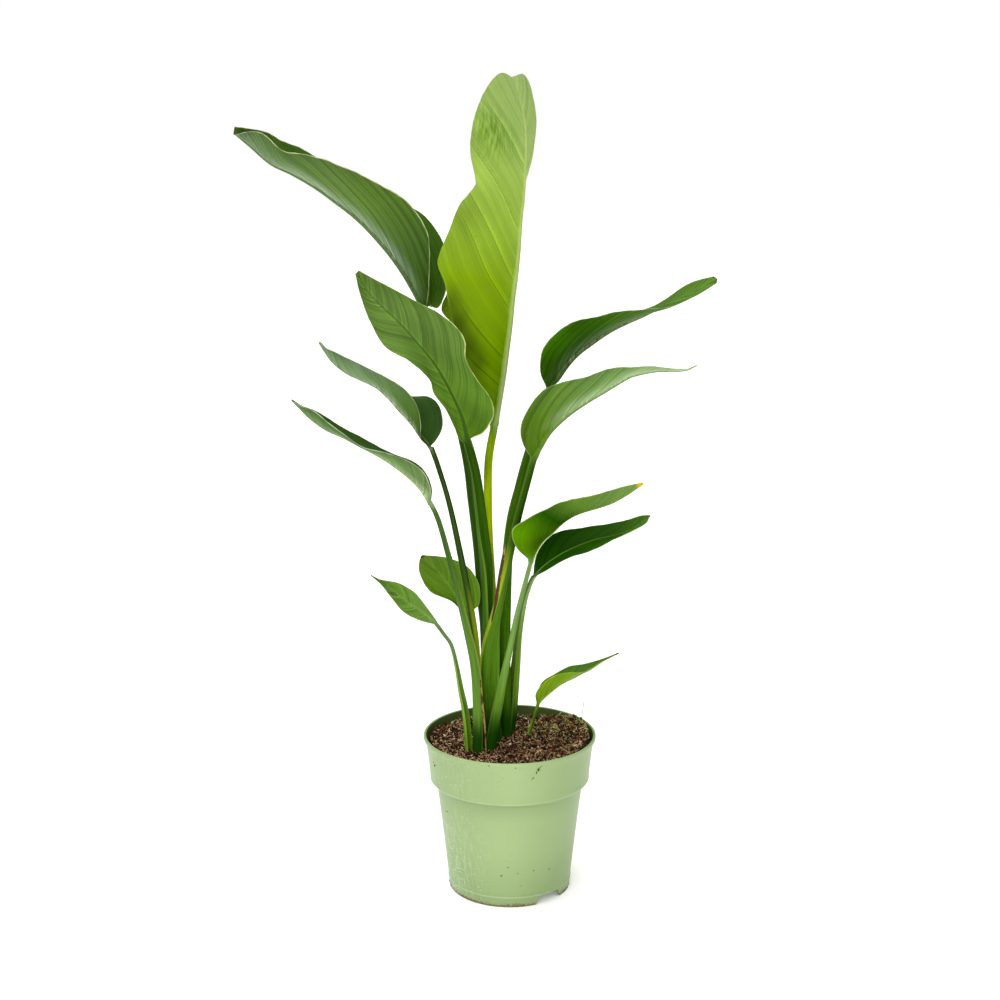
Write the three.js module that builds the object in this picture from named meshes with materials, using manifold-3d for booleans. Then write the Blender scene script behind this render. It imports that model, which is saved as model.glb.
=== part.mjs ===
// Potted bird of paradise plant in a grower's pot.
// Millimetres, +Z up. The origin is on the pot's axis where the pot meets the
// floor; +X is to the right and +Y is away from the side the plant is seen from.
import * as THREE from 'three';
import { mergeVertices } from 'three/addons/utils/BufferGeometryUtils.js';
import Module from 'manifold-3d';

const wasm = await Module();
wasm.setup();

// ---- driving dimensions -------------------------------------------------
const POT_HEIGHT = 194;
const RIM_RADIUS = 105;          // outer edge of the lip
const BAND_BOTTOM = 147;         // lower end of the wide rim band
const BODY_TOP = 133;            // where the tapered body starts
const BODY_TOP_RADIUS = 89.5;
const FOOT_RADIUS = 74.3;
const MOULDING_Z = 12;           // thin line around the foot
const WALL = 1.6;
const FLOOR_Z = 14;              // inside of the raised floor
const FLOOR_THICKNESS = 2;
const PAD_RADIUS = 34;           // flat centre pad that stands on the floor
const SIDES = 60;                // facets around the pot and the soil

const DRAIN_HOLES = 8;
const DRAIN_DIAMETER = 9;
const DRAIN_CIRCLE = 55;         // radius of the ring of drain holes

const FOOT_NOTCH_WIDTH = 35;
const FOOT_NOTCH_HEIGHT = 11.4;
const FOOT_NOTCH_ANGLES = [-50, 130];   // degrees from +X

const SOIL_LEVEL = 177;
const GAP = 0.3;                 // clearance between neighbouring pieces

const BLADE_THICKNESS = 0.8;
const STALK_STATIONS = 9;        // cross-sections along a leaf stalk
const BLADE_STATIONS = 20;       // cross-sections along a blade
const COLUMNS = 3;               // steps from the rib to each margin

// ---- materials ----------------------------------------------------------
const potPlastic = new THREE.MeshStandardMaterial({ color: 0xb4c59b, roughness: 0.6, metalness: 0 });
const peat = new THREE.MeshStandardMaterial({ color: 0x4a3524, roughness: 1, metalness: 0 });
const darkLeaf = new THREE.MeshStandardMaterial({ color: 0x3f6b22, roughness: 0.45, metalness: 0 });
const youngLeaf = new THREE.MeshStandardMaterial({ color: 0x93b53a, roughness: 0.5, metalness: 0 });

// ---- leaves -------------------------------------------------------------
// The leaves' places are read by eye from a front view of the plant that is
// 1000 pixels wide and high. It is seen from VIEW_FROM, and looks down by
// VIEW_TILT degrees. How far a place lies behind the pot's axis is judged.
const VIEW_FROM = [-11.8, -1927, 906];
const VIEW_TILT = 12.33;
const VIEW_CENTRE = 500;         // middle of the view, pixels across and down
const VIEW_FOCAL = 1666.7;       // from the eye to the view's plane, in pixels

// Points [x, y, z] in whole mm, from [pixels across, pixels down, y in mm].
function seen(...places) {
  const tilt = THREE.MathUtils.degToRad(VIEW_TILT);
  return places.map(([across, down, y]) => {
    const right = (across - VIEW_CENTRE) / VIEW_FOCAL;
    const up = (VIEW_CENTRE - down) / VIEW_FOCAL;
    const reach = (y - VIEW_FROM[1]) / (Math.cos(tilt) + up * Math.sin(tilt));
    const x = VIEW_FROM[0] + right * reach;
    const z = VIEW_FROM[2] + (up * Math.cos(tilt) - Math.sin(tilt)) * reach;
    return [Math.round(x), Math.round(y), Math.round(z)];
  });
}

// Each leaf is one grown piece: a channelled stalk that comes out of the soil
// and runs on as the blade's rib. A stalk's first point is [x, y, z] in mm,
// inside the soil, and the rest are seen.
//   stalk      centre line of the stalk, from below the soil to the blade
//   rib        centre line of the blade, from its base to the tip
//   near, far  the two margins, each with a point per step from base to tip
//   turn       +1 or -1, the way the fold turns from the near half to the far
//   faceLow    where the stalk's channel faces at the soil
//   halfWidth, opening, keel   the stalk's section from the soil to the blade:
//              mm from its centre line to each edge, degrees between its two
//              sides, and mm of flesh behind the channel
//   bow        how far each half of the blade arches, as a share of its width
const leaves = {
  leaf_centre: {
    turn: -1, faceLow: [-1, 0.3, 0],
    stalk: [[-12, 21, 160], ...seen(
      [493.5, 680, 24.4], [492, 600, 26], [488.5, 540, 26], [487.5, 500, 26],
      [488.3, 460, 26])],
    rib: seen(
      [494, 425, 26], [498, 400, 27], [502, 375, 28], [505.5, 350, 28], [509, 325, 28],
      [512, 300, 28], [515, 275, 28], [517.5, 250, 27], [520, 225, 26], [522, 200, 24],
      [524, 175, 22], [525.5, 150, 20], [524.5, 124, 17], [519.5, 100, 12], [511, 79, 6]),
    near: seen(
      [490, 424, 24], [476, 400, 8], [466, 373, -4], [457, 345, -14], [450.5, 314, -24],
      [445, 285, -32], [438.5, 262, -34], [447, 233, -35], [458.5, 207, -36],
      [473.5, 183, -36], [470, 150, -35], [475, 116, -32], [484, 92, -24],
      [500, 73.5, -12], [511, 77, 2]),
    far: seen(
      [496, 424, 30], [483, 398, 44], [470, 365, 56], [456, 330, 66], [441.5, 311, 74],
      [447, 292, 80], [456, 268, 86], [466, 242, 90], [481, 214, 92], [503, 188, 92],
      [524, 165, 90], [533, 136, 84], [535, 108, 72], [526, 76, 40], [511.5, 77, 12]),
    halfWidth: [7, 7, 6, 5.5, 5], opening: [150, 120, 100, 80],
    keel: [5, 5, 5, 4.5], bow: 0.06,
  },
  leaf_upper_left: {
    turn: 1, faceLow: [0.9, 0.2, 0],
    stalk: [[-28, 31, 160], ...seen(
      [484, 640, 26], [481, 600, 24], [477.5, 550, 22], [472.5, 500, 21], [467, 460, 20],
      [456, 410, 22], [440, 350, 25])],
    rib: seen(
      [423, 306, 28], [411, 283, 29], [396, 260, 30], [380, 241, 30], [360, 220.5, 30],
      [338, 203, 29], [316, 187.5, 28], [293, 174, 26], [271, 163, 24], [250, 146.5, 20],
      [233.8, 133, 16]),
    near: seen(
      [427, 304.5, 24], [430, 284, 8], [430, 258, -6], [425.5, 230, -14],
      [408, 204, -20], [383, 185.5, -21], [352, 169.5, -20], [318, 156.5, -15],
      [288, 152, -8], [258, 132, 4], [234, 135, 14]),
    far: seen(
      [430, 306, 34], [440, 306, 52], [448, 276, 68], [443.5, 244, 80], [426, 218.5, 86],
      [401, 203, 86], [366, 182, 82], [330, 163.5, 72], [295, 146, 58], [262, 131, 38],
      [235, 127, 18]),
    halfWidth: [7, 7, 6.5, 5.5, 5], opening: [150, 120, 100, 90],
    keel: [5, 5, 4.5, 4], bow: 0.1,
  },
  leaf_front_left: {
    turn: -1, faceLow: [1, 0, 0],
    stalk: [[-23, 14, 160], ...seen(
      [488.5, 660, 7], [488, 610, 3], [487, 570, 0], [483, 535, -3], [479.5, 500, -6],
      [475, 470, -7])],
    rib: seen(
      [467, 440, -8], [462, 418, -11], [453.5, 397.5, -13], [443.5, 379.5, -14],
      [433, 362, -14], [420, 346, -14], [405.5, 329.5, -13], [390, 314, -12],
      [376, 301, -10], [364.5, 287, -6], [356.8, 271.8, 0]),
    near: seen(
      [471, 439, -9], [484, 432, -15], [493.5, 416, -20], [491.5, 399, -25],
      [477.5, 380.5, -29], [465.5, 360, -31], [463.5, 339, -33], [447, 319, -33],
      [419, 302, -29], [386, 284.5, -20], [358.5, 270.5, -2]),
    far: seen(
      [463, 443, -9], [458, 436, -13], [453, 424, -19], [445, 407, -26],
      [434.5, 393, -32], [429, 379, -35], [409, 361.5, -37], [385, 346.5, -35],
      [370, 321.5, -28], [359.5, 293.5, -16], [355, 274, -2]),
    halfWidth: [7, 8, 8, 6, 5], opening: [150, 130, 110, 90],
    keel: [5, 5, 4.5, 4], bow: 0.06,
  },
  leaf_upper_right: {
    turn: -1, faceLow: [-1, 0, 0],
    stalk: [[-3, 25, 160], ...seen(
      [506.5, 650, 25], [508, 600, 26], [509.5, 560, 28], [513.5, 520, 32],
      [519.5, 488, 35], [528.5, 453, 38])],
    rib: seen(
      [549, 389, 40], [557, 378, 39], [567, 364, 38], [578, 352.5, 36], [592, 342, 34],
      [607, 332.5, 31], [624, 323.5, 28], [642, 315.5, 25], [662, 306.5, 22],
      [690, 293, 18], [717.5, 279, 14]),
    near: seen(
      [546, 387.5, 36], [539.5, 370, 24], [543, 349, 12], [558, 331, 5], [578, 320, 1],
      [598, 316.5, 0], [620, 311.5, 0], [645, 308.8, 2], [671, 306, 5], [698, 294.5, 8],
      [716.5, 283, 12]),
    far: seen(
      [546, 390, 44], [547, 372, 66], [556, 352, 88], [572, 338, 100], [590, 328, 104],
      [608, 320, 96], [628, 314, 82], [650, 307, 64], [672, 294, 46], [692, 282, 30],
      [713.5, 276.3, 16]),
    halfWidth: [7, 7, 6, 5], opening: [150, 110, 90],
    keel: [5, 5, 4.5, 4], bow: 0.1,
  },
  leaf_right: {
    turn: -1, faceLow: [-0.2, 1, 0],
    stalk: [[-22, 3, 160], ...seen(
      [490, 690, 1], [490.5, 660, 0], [493.5, 630, -2], [499, 600, -5], [507, 562, -7],
      [514.5, 530, -8], [521, 503, -8], [528, 478, -7])],
    rib: seen(
      [534, 457, -6], [541, 444, -8], [548, 433, -9], [557, 422.5, -10], [569, 413, -10],
      [586, 402, -10], [605, 390.5, -10], [622, 380.5, -10], [634, 375.5, -10],
      [656, 371, -10], [684, 370.2, -10], [696.5, 365, -10]),
    near: seen(
      [530, 456, -10], [523.5, 444, -22], [520.7, 428, -33], [528, 410, -40],
      [542, 391.5, -44], [560, 383, -44], [584, 377.5, -42], [605, 369.5, -38],
      [628, 366.2, -30], [652, 366.2, -22], [683, 368.8, -14], [696, 364.8, -11]),
    far: seen(
      [535, 455, -2], [534, 440, 10], [535, 422, 20], [541, 406, 28], [553, 395, 32],
      [570, 386.5, 33], [592, 380, 32], [614, 372.5, 28], [632, 369.5, 22],
      [655, 368.8, 12], [684, 369.8, 2], [697, 365, -7]),
    halfWidth: [13, 13.5, 9, 4.5, 4.5], opening: [130, 130, 110, 90],
    keel: [5, 5, 4.5, 4], bow: 0.1,
  },
  leaf_mid_left: {
    turn: 1, faceLow: [1, 0.1, 0],
    stalk: [[-35, -12, 160], ...seen(
      [478.5, 690, -10.4], [477.5, 650, -10], [470, 600, -6], [460, 552, -8],
      [451, 508, -8], [441.5, 475, -8])],
    rib: seen(
      [431, 446, -8], [421, 434, -8], [411, 421, -8], [400.5, 409.5, -8], [389, 397, -8],
      [376, 386, -8], [361, 379, -8], [346, 372, -8], [333.5, 362, -8], [325, 352, -8],
      [319, 342, -8]),
    near: seen(
      [427, 446, -10], [420.8, 438, -19], [421.5, 424, -24], [418, 408, -27],
      [407, 391, -28], [390, 379, -27], [371, 370, -24], [355, 362, -20],
      [340, 354, -16], [326.5, 347.5, -12], [319.5, 342.5, -9]),
    far: seen(
      [431, 446, -4], [438, 438, 8], [443, 424, 17], [440, 406, 25], [428, 396.5, 32],
      [409, 395, 37], [389, 382, 36], [364, 371, 32], [345, 361, 20], [331, 351.5, 8],
      [319.5, 341.5, -6]),
    halfWidth: [5.5, 6, 5, 3.2, 3], opening: [150, 110, 90],
    keel: [4, 4, 3, 2.6], bow: 0.1,
  },
  leaf_low_left: {
    turn: 1, faceLow: [0.75, 0.65, 0],
    stalk: [[-39, -26, 160], ...seen(
      [477.3, 702, -25], [474.5, 666, -24], [468, 633, -23], [458, 590, -21],
      [447.5, 550, -20], [438.5, 520, -19])],
    rib: seen(
      [431, 503, -18], [421, 488, -18], [408, 475.5, -18], [393, 464, -18],
      [376, 453.5, -18], [360, 445.5, -18], [343, 436.5, -18], [326, 429, -18],
      [310, 418, -18], [299.5, 408, -18], [291.3, 400.5, -18]),
    near: seen(
      [430.5, 499, -22], [430, 486, -30], [423, 472, -36], [408, 461.5, -38],
      [388, 453.8, -37], [364, 447, -35], [346, 435.7, -33], [330, 423, -30],
      [315, 411.5, -26], [302, 405.5, -22], [292, 401, -19]),
    far: seen(
      [431, 503, -14], [432, 488, 0], [427, 473.5, 14], [415, 462, 22], [394, 454.5, 25],
      [373, 444, 22], [353, 432.5, 16], [335, 421.8, 8], [318, 411.2, -2],
      [303, 405.8, -10], [291.5, 399.3, -16]),
    halfWidth: [7, 7, 4.5, 3.5, 3], opening: [120, 110, 100, 90],
    keel: [4, 4, 3, 2.6], bow: 0.1,
  },
  leaf_small_back: {
    turn: -1, faceLow: [0.5, -0.8, 0.1],
    stalk: [[-41, 5, 160], ...seen(
      [477, 690, 14], [472, 640, 18])],
    rib: seen(
      [466, 614, 22], [460, 603, 25], [452, 590, 30], [443.5, 577.5, 34],
      [434, 567.5, 38], [421, 556, 40]),
    near: seen(
      [469, 612, 18], [479, 604, 10], [479, 585, 6], [467, 567, 12], [447, 557.5, 24],
      [422.5, 554.8, 38]),
    far: seen(
      [464, 614, 20], [452, 601.5, 15], [431, 592, 14], [421.5, 577, 18],
      [418.5, 564, 28], [420.5, 556.5, 38]),
    halfWidth: [5, 4, 3, 2.5], opening: [110, 90, 90],
    keel: [3, 3, 2.4, 2], bow: 0.05,
  },
  leaf_seedling_left: {
    turn: -1, faceLow: [0.8, -0.5, 0.1],
    stalk: [[-49, -20, 160], ...seen(
      [466, 718, -20], [461, 690, -20], [456.5, 665, -19], [451, 645, -18],
      [444, 634, -18])],
    rib: seen(
      [434, 622, -18], [421, 611, -18], [405, 600, -18], [391, 589, -18],
      [380, 582, -18], [371, 575, -18]),
    near: seen(
      [436, 620, -20], [428, 609, -26], [416, 594, -30], [400, 584, -28],
      [381, 579.3, -21], [371.8, 575.2, -19]),
    far: seen(
      [434, 624, -20], [420, 620.5, -26], [403, 612, -30], [390.5, 597, -28],
      [380.5, 583.5, -22], [371, 576, -18]),
    halfWidth: [5.5, 4.5, 2.6, 2.2, 2.4], opening: [110, 90, 90],
    keel: [2.6, 2.4, 2, 1.6], bow: 0.05,
  },
  leaf_low_right_front: {
    turn: -1, faceLow: [-0.75, 0.65, 0.1],
    stalk: [[-26, -18, 160], ...seen(
      [496, 721, -18], [499, 702, -19], [504, 675, -19], [509.5, 648, -19],
      [517, 615, -17], [524.5, 585, -14])],
    rib: seen(
      [531, 561, -12], [536, 550, -12], [543, 540, -12], [552, 531.5, -12],
      [562, 523, -12], [573, 515.5, -13], [586, 510.5, -14], [600, 507, -15],
      [614, 501.5, -16], [629, 494, -17], [643, 484, -18]),
    near: seen(
      [528, 559, -16], [516, 547, -23], [512.5, 530, -30], [526, 520, -35],
      [541, 511, -38], [557, 503.5, -38], [574, 498.5, -36], [592, 496, -32],
      [609, 490.5, -28], [627, 485.5, -23], [642.5, 482, -18]),
    far: seen(
      [531, 561, -8], [526, 548, 8], [524, 534, 20], [534, 523, 26], [548, 514, 28],
      [562, 506.5, 28], [578, 502, 24], [594, 498, 18], [611, 493, 6], [628, 488, -6],
      [642.5, 483, -16]),
    halfWidth: [8.5, 8, 5.5, 3.2, 2.6], opening: [110, 100, 90],
    keel: [4, 4, 3, 2.4], bow: 0.1,
  },
  leaf_low_right_back: {
    turn: -1, faceLow: [-0.9, -0.3, 0.1],
    stalk: [[0, 43, 160], ...seen(
      [513.5, 702, 40], [516, 668, 34], [519, 635, 25], [524, 603, 14], [529, 586, 8])],
    rib: seen(
      [534, 576, 4], [541, 568, 3], [550, 560.5, 2], [561, 554, 1], [574, 547.5, 0],
      [587, 542, -1], [600, 538, -2], [613, 535.5, -2], [625, 531.5, -3], [637, 525, -4],
      [650, 515.8, -6]),
    near: seen(
      [535.5, 576, 2], [546, 570.5, -3], [558, 563.5, -8], [571, 557.5, -12],
      [585, 553, -15], [598, 547.5, -17], [611, 541.5, -18], [623, 535.5, -17],
      [636, 528.3, -14], [646, 522.5, -11], [650, 516.5, -8]),
    far: seen(
      [533, 575, 8], [534.5, 561, 16], [540, 547, 24], [549, 536.5, 29],
      [562, 530.5, 31], [578, 528, 31], [594, 525.3, 29], [610, 523.5, 25],
      [625, 520.5, 18], [639, 516, 8], [649.5, 514.8, -2]),
    halfWidth: [9, 8.5, 4.5, 3, 2.6], opening: [110, 100, 90],
    keel: [4, 4, 3, 2.4], bow: 0.08,
  },
  leaf_seedling_right: {
    turn: -1, faceLow: [-0.9, 0.3, 0.1],
    stalk: [[18, 31, 160], ...seen(
      [532, 722, 29])],
    rib: seen(
      [538, 704, 28], [543, 698, 28], [551, 691, 28], [562, 683.5, 28], [575, 677, 28],
      [590, 668.5, 28], [604, 659.5, 28], [619, 653.2, 28]),
    near: seen(
      [536.5, 703, 26], [535.5, 693, 20], [543, 682.5, 15], [554, 676, 12],
      [567, 673, 11], [585, 671.5, 14], [603, 661, 22], [618.5, 654, 27]),
    far: seen(
      [537.5, 704, 30], [538, 692, 36], [542.5, 681, 41], [554, 674, 45], [569, 666, 46],
      [583, 664.2, 43], [602, 658.3, 36], [618.5, 652.5, 29]),
    halfWidth: [3.2, 2.4, 2], opening: [110, 90, 90],
    keel: [2.2, 2, 1.6], bow: 0.1,
  },
};
const YOUNG = ['leaf_centre', 'leaf_low_right_front', 'leaf_seedling_right'];

// ---- helpers ------------------------------------------------------------
const vec = (p) => new THREE.Vector3(...p);
const unit = (v) => v.clone().normalize();

// Smooth value at t (0 to 1) along a list of numbers, evenly spaced.
function numberAlong(list, t) {
  return smooth(list.map((n) => new THREE.Vector3(n, 0, 0)), t).x;
}

// Smooth point at t (0 to 1) along a list of points, evenly spaced in t.
function smooth(points, t) {
  const last = points.length - 1;
  const s = Math.min(Math.max(t, 0), 1) * last;
  const i = Math.min(Math.floor(s), last - 1);
  const u = s - i;
  const b = points[i];
  const c = points[i + 1];
  const a = i > 0 ? points[i - 1] : b.clone().multiplyScalar(2).sub(c);
  const d = i + 2 <= last ? points[i + 2] : c.clone().multiplyScalar(2).sub(b);
  const out = new THREE.Vector3();
  for (const k of ['x', 'y', 'z']) {
    out[k] = 0.5 * (2 * b[k] + (c[k] - a[k]) * u
      + (2 * a[k] - 5 * b[k] + 4 * c[k] - d[k]) * u * u
      + (3 * b[k] - a[k] - 3 * c[k] + d[k]) * u * u * u);
  }
  return out;
}

// Merged, position-only geometry to a manifold solid and back.
function toSolid(geometry) {
  const g = geometry.clone();
  for (const name of Object.keys(g.attributes)) {
    if (name !== 'position') g.deleteAttribute(name);
  }
  const merged = mergeVertices(g, 1e-4);
  return new wasm.Manifold(new wasm.Mesh({
    numProp: 3,
    vertProperties: new Float32Array(merged.attributes.position.array),
    triVerts: new Uint32Array(merged.index.array),
  }));
}

function toGeometry(solid) {
  const mesh = solid.getMesh();
  const g = new THREE.BufferGeometry();
  g.setAttribute('position', new THREE.BufferAttribute(new Float32Array(mesh.vertProperties), 3));
  g.setIndex(new THREE.BufferAttribute(new Uint32Array(mesh.triVerts), 1));
  g.computeVertexNormals();
  return g;
}

// ---- leaf surface -------------------------------------------------------
// Closed rings of points from the soil to the tip. The first half of a ring
// runs over the upper face from one margin across the rib to the other, and
// the second half comes back along the underside. `swell` grows it evenly.
function leafRings(leaf, swell = 0) {
  const line = [...leaf.stalk, ...leaf.rib].map(vec);
  const near = leaf.near.map(vec);
  const far = leaf.far.map(vec);
  const baseShare = leaf.stalk.length / (line.length - 1);
  // s runs from -1 in the soil through 0 at the blade's base to 1 at the tip
  const centre = (s) => smooth(line, s < 0 ? (s + 1) * baseShare : baseShare + s * (1 - baseShare));
  const tangent = (s) => centre(Math.min(s + 1e-3, 1)).sub(centre(Math.max(s - 1e-3, -1))).normalize();
  const lastWidth = leaf.halfWidth.at(-1);

  const firstStep = 1 / (near.length - 1);
  const bladeFace = new THREE.Vector3().crossVectors(
    tangent(firstStep),
    unit(near[1].clone().sub(centre(firstStep))).sub(unit(far[1].clone().sub(centre(firstStep)))),
  ).multiplyScalar(leaf.turn).normalize();

  const stations = [];
  for (let i = 0; i < STALK_STATIONS; i++) stations.push(-1 + i / STALK_STATIONS);
  for (let i = 0; i <= BLADE_STATIONS; i++) stations.push(i / BLADE_STATIONS);

  return stations.map((s) => {
    const c = centre(s);
    const t = tangent(s);
    let sideA, sideB, bow, keel, core;
    const face = new THREE.Vector3();
    if (s < 0) {
      const q = s + 1;
      face.copy(unit(vec(leaf.faceLow))).lerp(bladeFace, q);
      face.addScaledVector(t, -face.dot(t)).normalize();
      const half = THREE.MathUtils.degToRad(numberAlong(leaf.opening, q)) / 2;
      core = numberAlong(leaf.halfWidth, q);
      sideA = face.clone().applyAxisAngle(t, -leaf.turn * half).multiplyScalar(core);
      sideB = face.clone().applyAxisAngle(t, leaf.turn * half).multiplyScalar(core);
      bow = 0.22;
      keel = numberAlong(leaf.keel, q);
    } else {
      sideA = smooth(near, s).sub(c);
      sideB = smooth(far, s).sub(c);
      for (const side of [sideA, sideB]) if (side.length() < 1) side.normalize();
      face.crossVectors(t, unit(sideA).sub(unit(sideB))).multiplyScalar(leaf.turn).normalize();
      const blend = Math.min(1, s * 6);
      bow = 0.22 * (1 - blend) + leaf.bow * blend;
      keel = leaf.keel.at(-1) * (1 - s) ** 0.8 + 0.15;
      core = lastWidth * (1 - 0.75 * s);
    }
    const halves = [[sideA, 1], [sideB, -1]].map(([side, sign]) => {
      const width = side.length();
      const along = unit(side);
      const out = new THREE.Vector3().crossVectors(t, along).multiplyScalar(sign * leaf.turn).normalize();
      const round = Math.min(core, width);
      const upper = [];
      const lower = [];
      for (let j = 0; j <= COLUMNS; j++) {
        const k = j / COLUMNS;
        const m = round * k + (width - round) * k ** (width > 3 * round ? 3 : 1);
        const v = m / width;
        const arch = -4 * v * (1 - v) * bow * width;
        const bulge = keel * Math.sqrt(Math.max(0, 1 - Math.min(1, m / (round * 1.02)) ** 2));
        const thick = BLADE_THICKNESS + (m < round * 1.01 ? bulge : 0);
        const stretch = m + swell * k;
        upper.push(c.clone().addScaledVector(along, stretch).addScaledVector(out, arch + swell));
        lower.push(j
          ? c.clone().addScaledVector(along, stretch).addScaledVector(out, arch - thick - swell)
          : c.clone().addScaledVector(face, -BLADE_THICKNESS - keel - swell));
      }
      return { upper, lower };
    });
    const [left, right] = leaf.turn > 0 ? halves : [halves[1], halves[0]];
    return [...left.upper.slice().reverse(), ...right.upper.slice(1),
      ...right.lower.slice().reverse(), ...left.lower.slice(1)];
  });
}

function leafGeometry(leaf, swell = 0) {
  const rings = leafRings(leaf, swell);
  const n = rings.length;
  const m = rings[0].length;
  const half = m / 2;
  const index = [];
  for (let i = 0; i < n - 1; i++) {
    for (let j = 0; j < m; j++) {
      const a = i * m + j;
      const b = i * m + ((j + 1) % m);
      const c = b + m;
      const d = a + m;
      if (j < half) index.push(a, b, c, a, c, d);
      else index.push(a, b, d, b, c, d);
    }
  }
  for (const [o, atTip] of [[0, false], [(n - 1) * m, true]]) {
    for (let j = 0; j < half - 1; j++) {
      const [a, b, c, d] = [o + j, o + j + 1, o + m - 2 - j, o + m - 1 - j];
      if (atTip) index.push(a, b, c, a, c, d);
      else index.push(c, b, a, d, c, a);
    }
  }
  const g = new THREE.BufferGeometry();
  g.setAttribute('position', new THREE.Float32BufferAttribute(rings.flat().flatMap((p) => [p.x, p.y, p.z]), 3));
  g.setIndex(index);
  g.computeVertexNormals();
  return g;
}

// ---- pot ----------------------------------------------------------------
// Outer and inner wall from the foot to the lip, as [radius, z].
const outerWall = [
  [FOOT_RADIUS, 0],
  [FOOT_RADIUS + 0.9, MOULDING_Z - 0.6],
  [FOOT_RADIUS + 1.4, MOULDING_Z],
  [FOOT_RADIUS + 1.4, MOULDING_Z + 1.2],
  [BODY_TOP_RADIUS, BODY_TOP],
  [97.3, BAND_BOTTOM],
  [100, 172],
  [103, 188],
  [RIM_RADIUS, 190.5],
  [RIM_RADIUS, POT_HEIGHT],
];
const innerWall = [
  [RIM_RADIUS - 3.6, POT_HEIGHT],
  [103 - WALL - 1.2, 188],
  [100 - WALL, 172],
  [97.3 - WALL, BAND_BOTTOM + 0.8],
  [BODY_TOP_RADIUS - WALL, BODY_TOP + 0.8],
  [FOOT_RADIUS + 1.4 - WALL, FLOOR_Z],
];

function latheOf(profile) {
  const g = new THREE.LatheGeometry(profile.map(([r, z]) => new THREE.Vector2(r, z)), SIDES);
  g.rotateX(Math.PI / 2);
  return g;
}

function potGeometry() {
  const underside = FLOOR_Z - FLOOR_THICKNESS;
  const shell = latheOf([
    [0, 0], [PAD_RADIUS, 0], [PAD_RADIUS + 4, underside], [FOOT_RADIUS - 2.6, underside], [FOOT_RADIUS - 2, 0],
    ...outerWall, ...innerWall,
    [PAD_RADIUS + 5.6, FLOOR_Z], [PAD_RADIUS + 1.6, FLOOR_THICKNESS], [0, FLOOR_THICKNESS],
  ]);
  let solid = toSolid(shell);
  for (const angle of FOOT_NOTCH_ANGLES) {
    const notch = new THREE.BoxGeometry(14, FOOT_NOTCH_WIDTH, FOOT_NOTCH_HEIGHT + 2);
    notch.translate(FOOT_RADIUS, 0, FOOT_NOTCH_HEIGHT / 2 - 1);
    notch.rotateZ(THREE.MathUtils.degToRad(angle));
    solid = solid.subtract(toSolid(notch));
  }
  for (let i = 0; i < DRAIN_HOLES; i++) {
    const hole = new THREE.CylinderGeometry(DRAIN_DIAMETER / 2, DRAIN_DIAMETER / 2, FLOOR_THICKNESS + 2, 16);
    hole.rotateX(Math.PI / 2);
    hole.translate(DRAIN_CIRCLE, 0, FLOOR_Z - FLOOR_THICKNESS / 2);
    hole.rotateZ((i + 0.5) * 2 * Math.PI / DRAIN_HOLES);
    solid = solid.subtract(toSolid(hole));
  }
  return toGeometry(solid);
}

// ---- soil ---------------------------------------------------------------
// Inner radius of the pot at a height.
function potInside(z) {
  for (let i = innerWall.length - 1; i > 0; i--) {
    const [r0, z0] = innerWall[i];
    const [r1, z1] = innerWall[i - 1];
    if (z <= z1) return r0 + (r1 - r0) * (z - z0) / (z1 - z0);
  }
  return innerWall[0][0];
}

// Height of the loose surface: level, heaped up at the back right, lower along
// the front right wall, with small rolling lumps.
function soilTop(r, angle) {
  const x = r * Math.cos(angle);
  const y = r * Math.sin(angle);
  const heap = 11 * Math.exp(-((x - 78) ** 2 + (y - 38) ** 2) / 1500);
  const dip = -5 * Math.exp(-((x - 62) ** 2 + (y + 74) ** 2) / 700);
  const crown = 3.5 * Math.exp(-((x + 18) ** 2 + (y - 8) ** 2) / 2600);
  const lumps = 1.1 * Math.sin(x * 0.19 + y * 0.11) * Math.cos(y * 0.23 - x * 0.07);
  return SOIL_LEVEL + heap + dip + crown + lumps;
}

function soilGeometry() {
  const rings = 8;
  const points = [];
  const index = [];
  const angle = (k) => Math.PI / 2 - (k * 2 * Math.PI) / SIDES;
  const push = (r, a, z) => points.push(r * Math.cos(a), r * Math.sin(a), z);
  // top: centre point, then rings out to the wall, then down the wall and in
  push(0, 0, soilTop(0, 0));
  const levels = [];
  for (let i = 1; i <= rings; i++) {
    levels.push((k) => {
      const a = angle(k);
      const edgeZ = soilTop(97, a);
      const r = (potInside(edgeZ) - GAP) * (i / rings) ** 0.85;
      return [r, a, i === rings ? edgeZ - 1.5 : soilTop(r, a)];
    });
  }
  for (const z of [BAND_BOTTOM + 0.8, BODY_TOP + 0.8, FLOOR_Z + GAP]) {
    levels.push((k) => [potInside(z) - GAP, angle(k), z]);
  }
  levels.push((k) => [PAD_RADIUS + 5.2, angle(k), FLOOR_Z + GAP]);
  levels.push((k) => [PAD_RADIUS + 1.2, angle(k), FLOOR_THICKNESS + GAP]);
  for (const level of levels) for (let k = 0; k < SIDES; k++) push(...level(k));
  points.push(0, 0, FLOOR_THICKNESS + GAP);
  const at = (i, k) => 1 + i * SIDES + (k % SIDES);
  const bottom = points.length / 3 - 1;
  for (let k = 0; k < SIDES; k++) {
    index.push(0, at(0, k + 1), at(0, k));
    for (let i = 0; i < levels.length - 1; i++) {
      index.push(at(i, k), at(i, k + 1), at(i + 1, k + 1), at(i, k), at(i + 1, k + 1), at(i + 1, k));
    }
    index.push(at(levels.length - 1, k), at(levels.length - 1, k + 1), bottom);
  }
  const g = new THREE.BufferGeometry();
  g.setAttribute('position', new THREE.Float32BufferAttribute(points, 3));
  g.setIndex(index);
  let solid = toSolid(g);
  // every stalk stands in a hole of its own
  for (const leaf of Object.values(leaves)) solid = solid.subtract(toSolid(leafGeometry(leaf, GAP)));
  const pieces = solid.decompose().sort((p, q) => q.volume() - p.volume());
  return toGeometry(pieces[0]);
}

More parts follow.
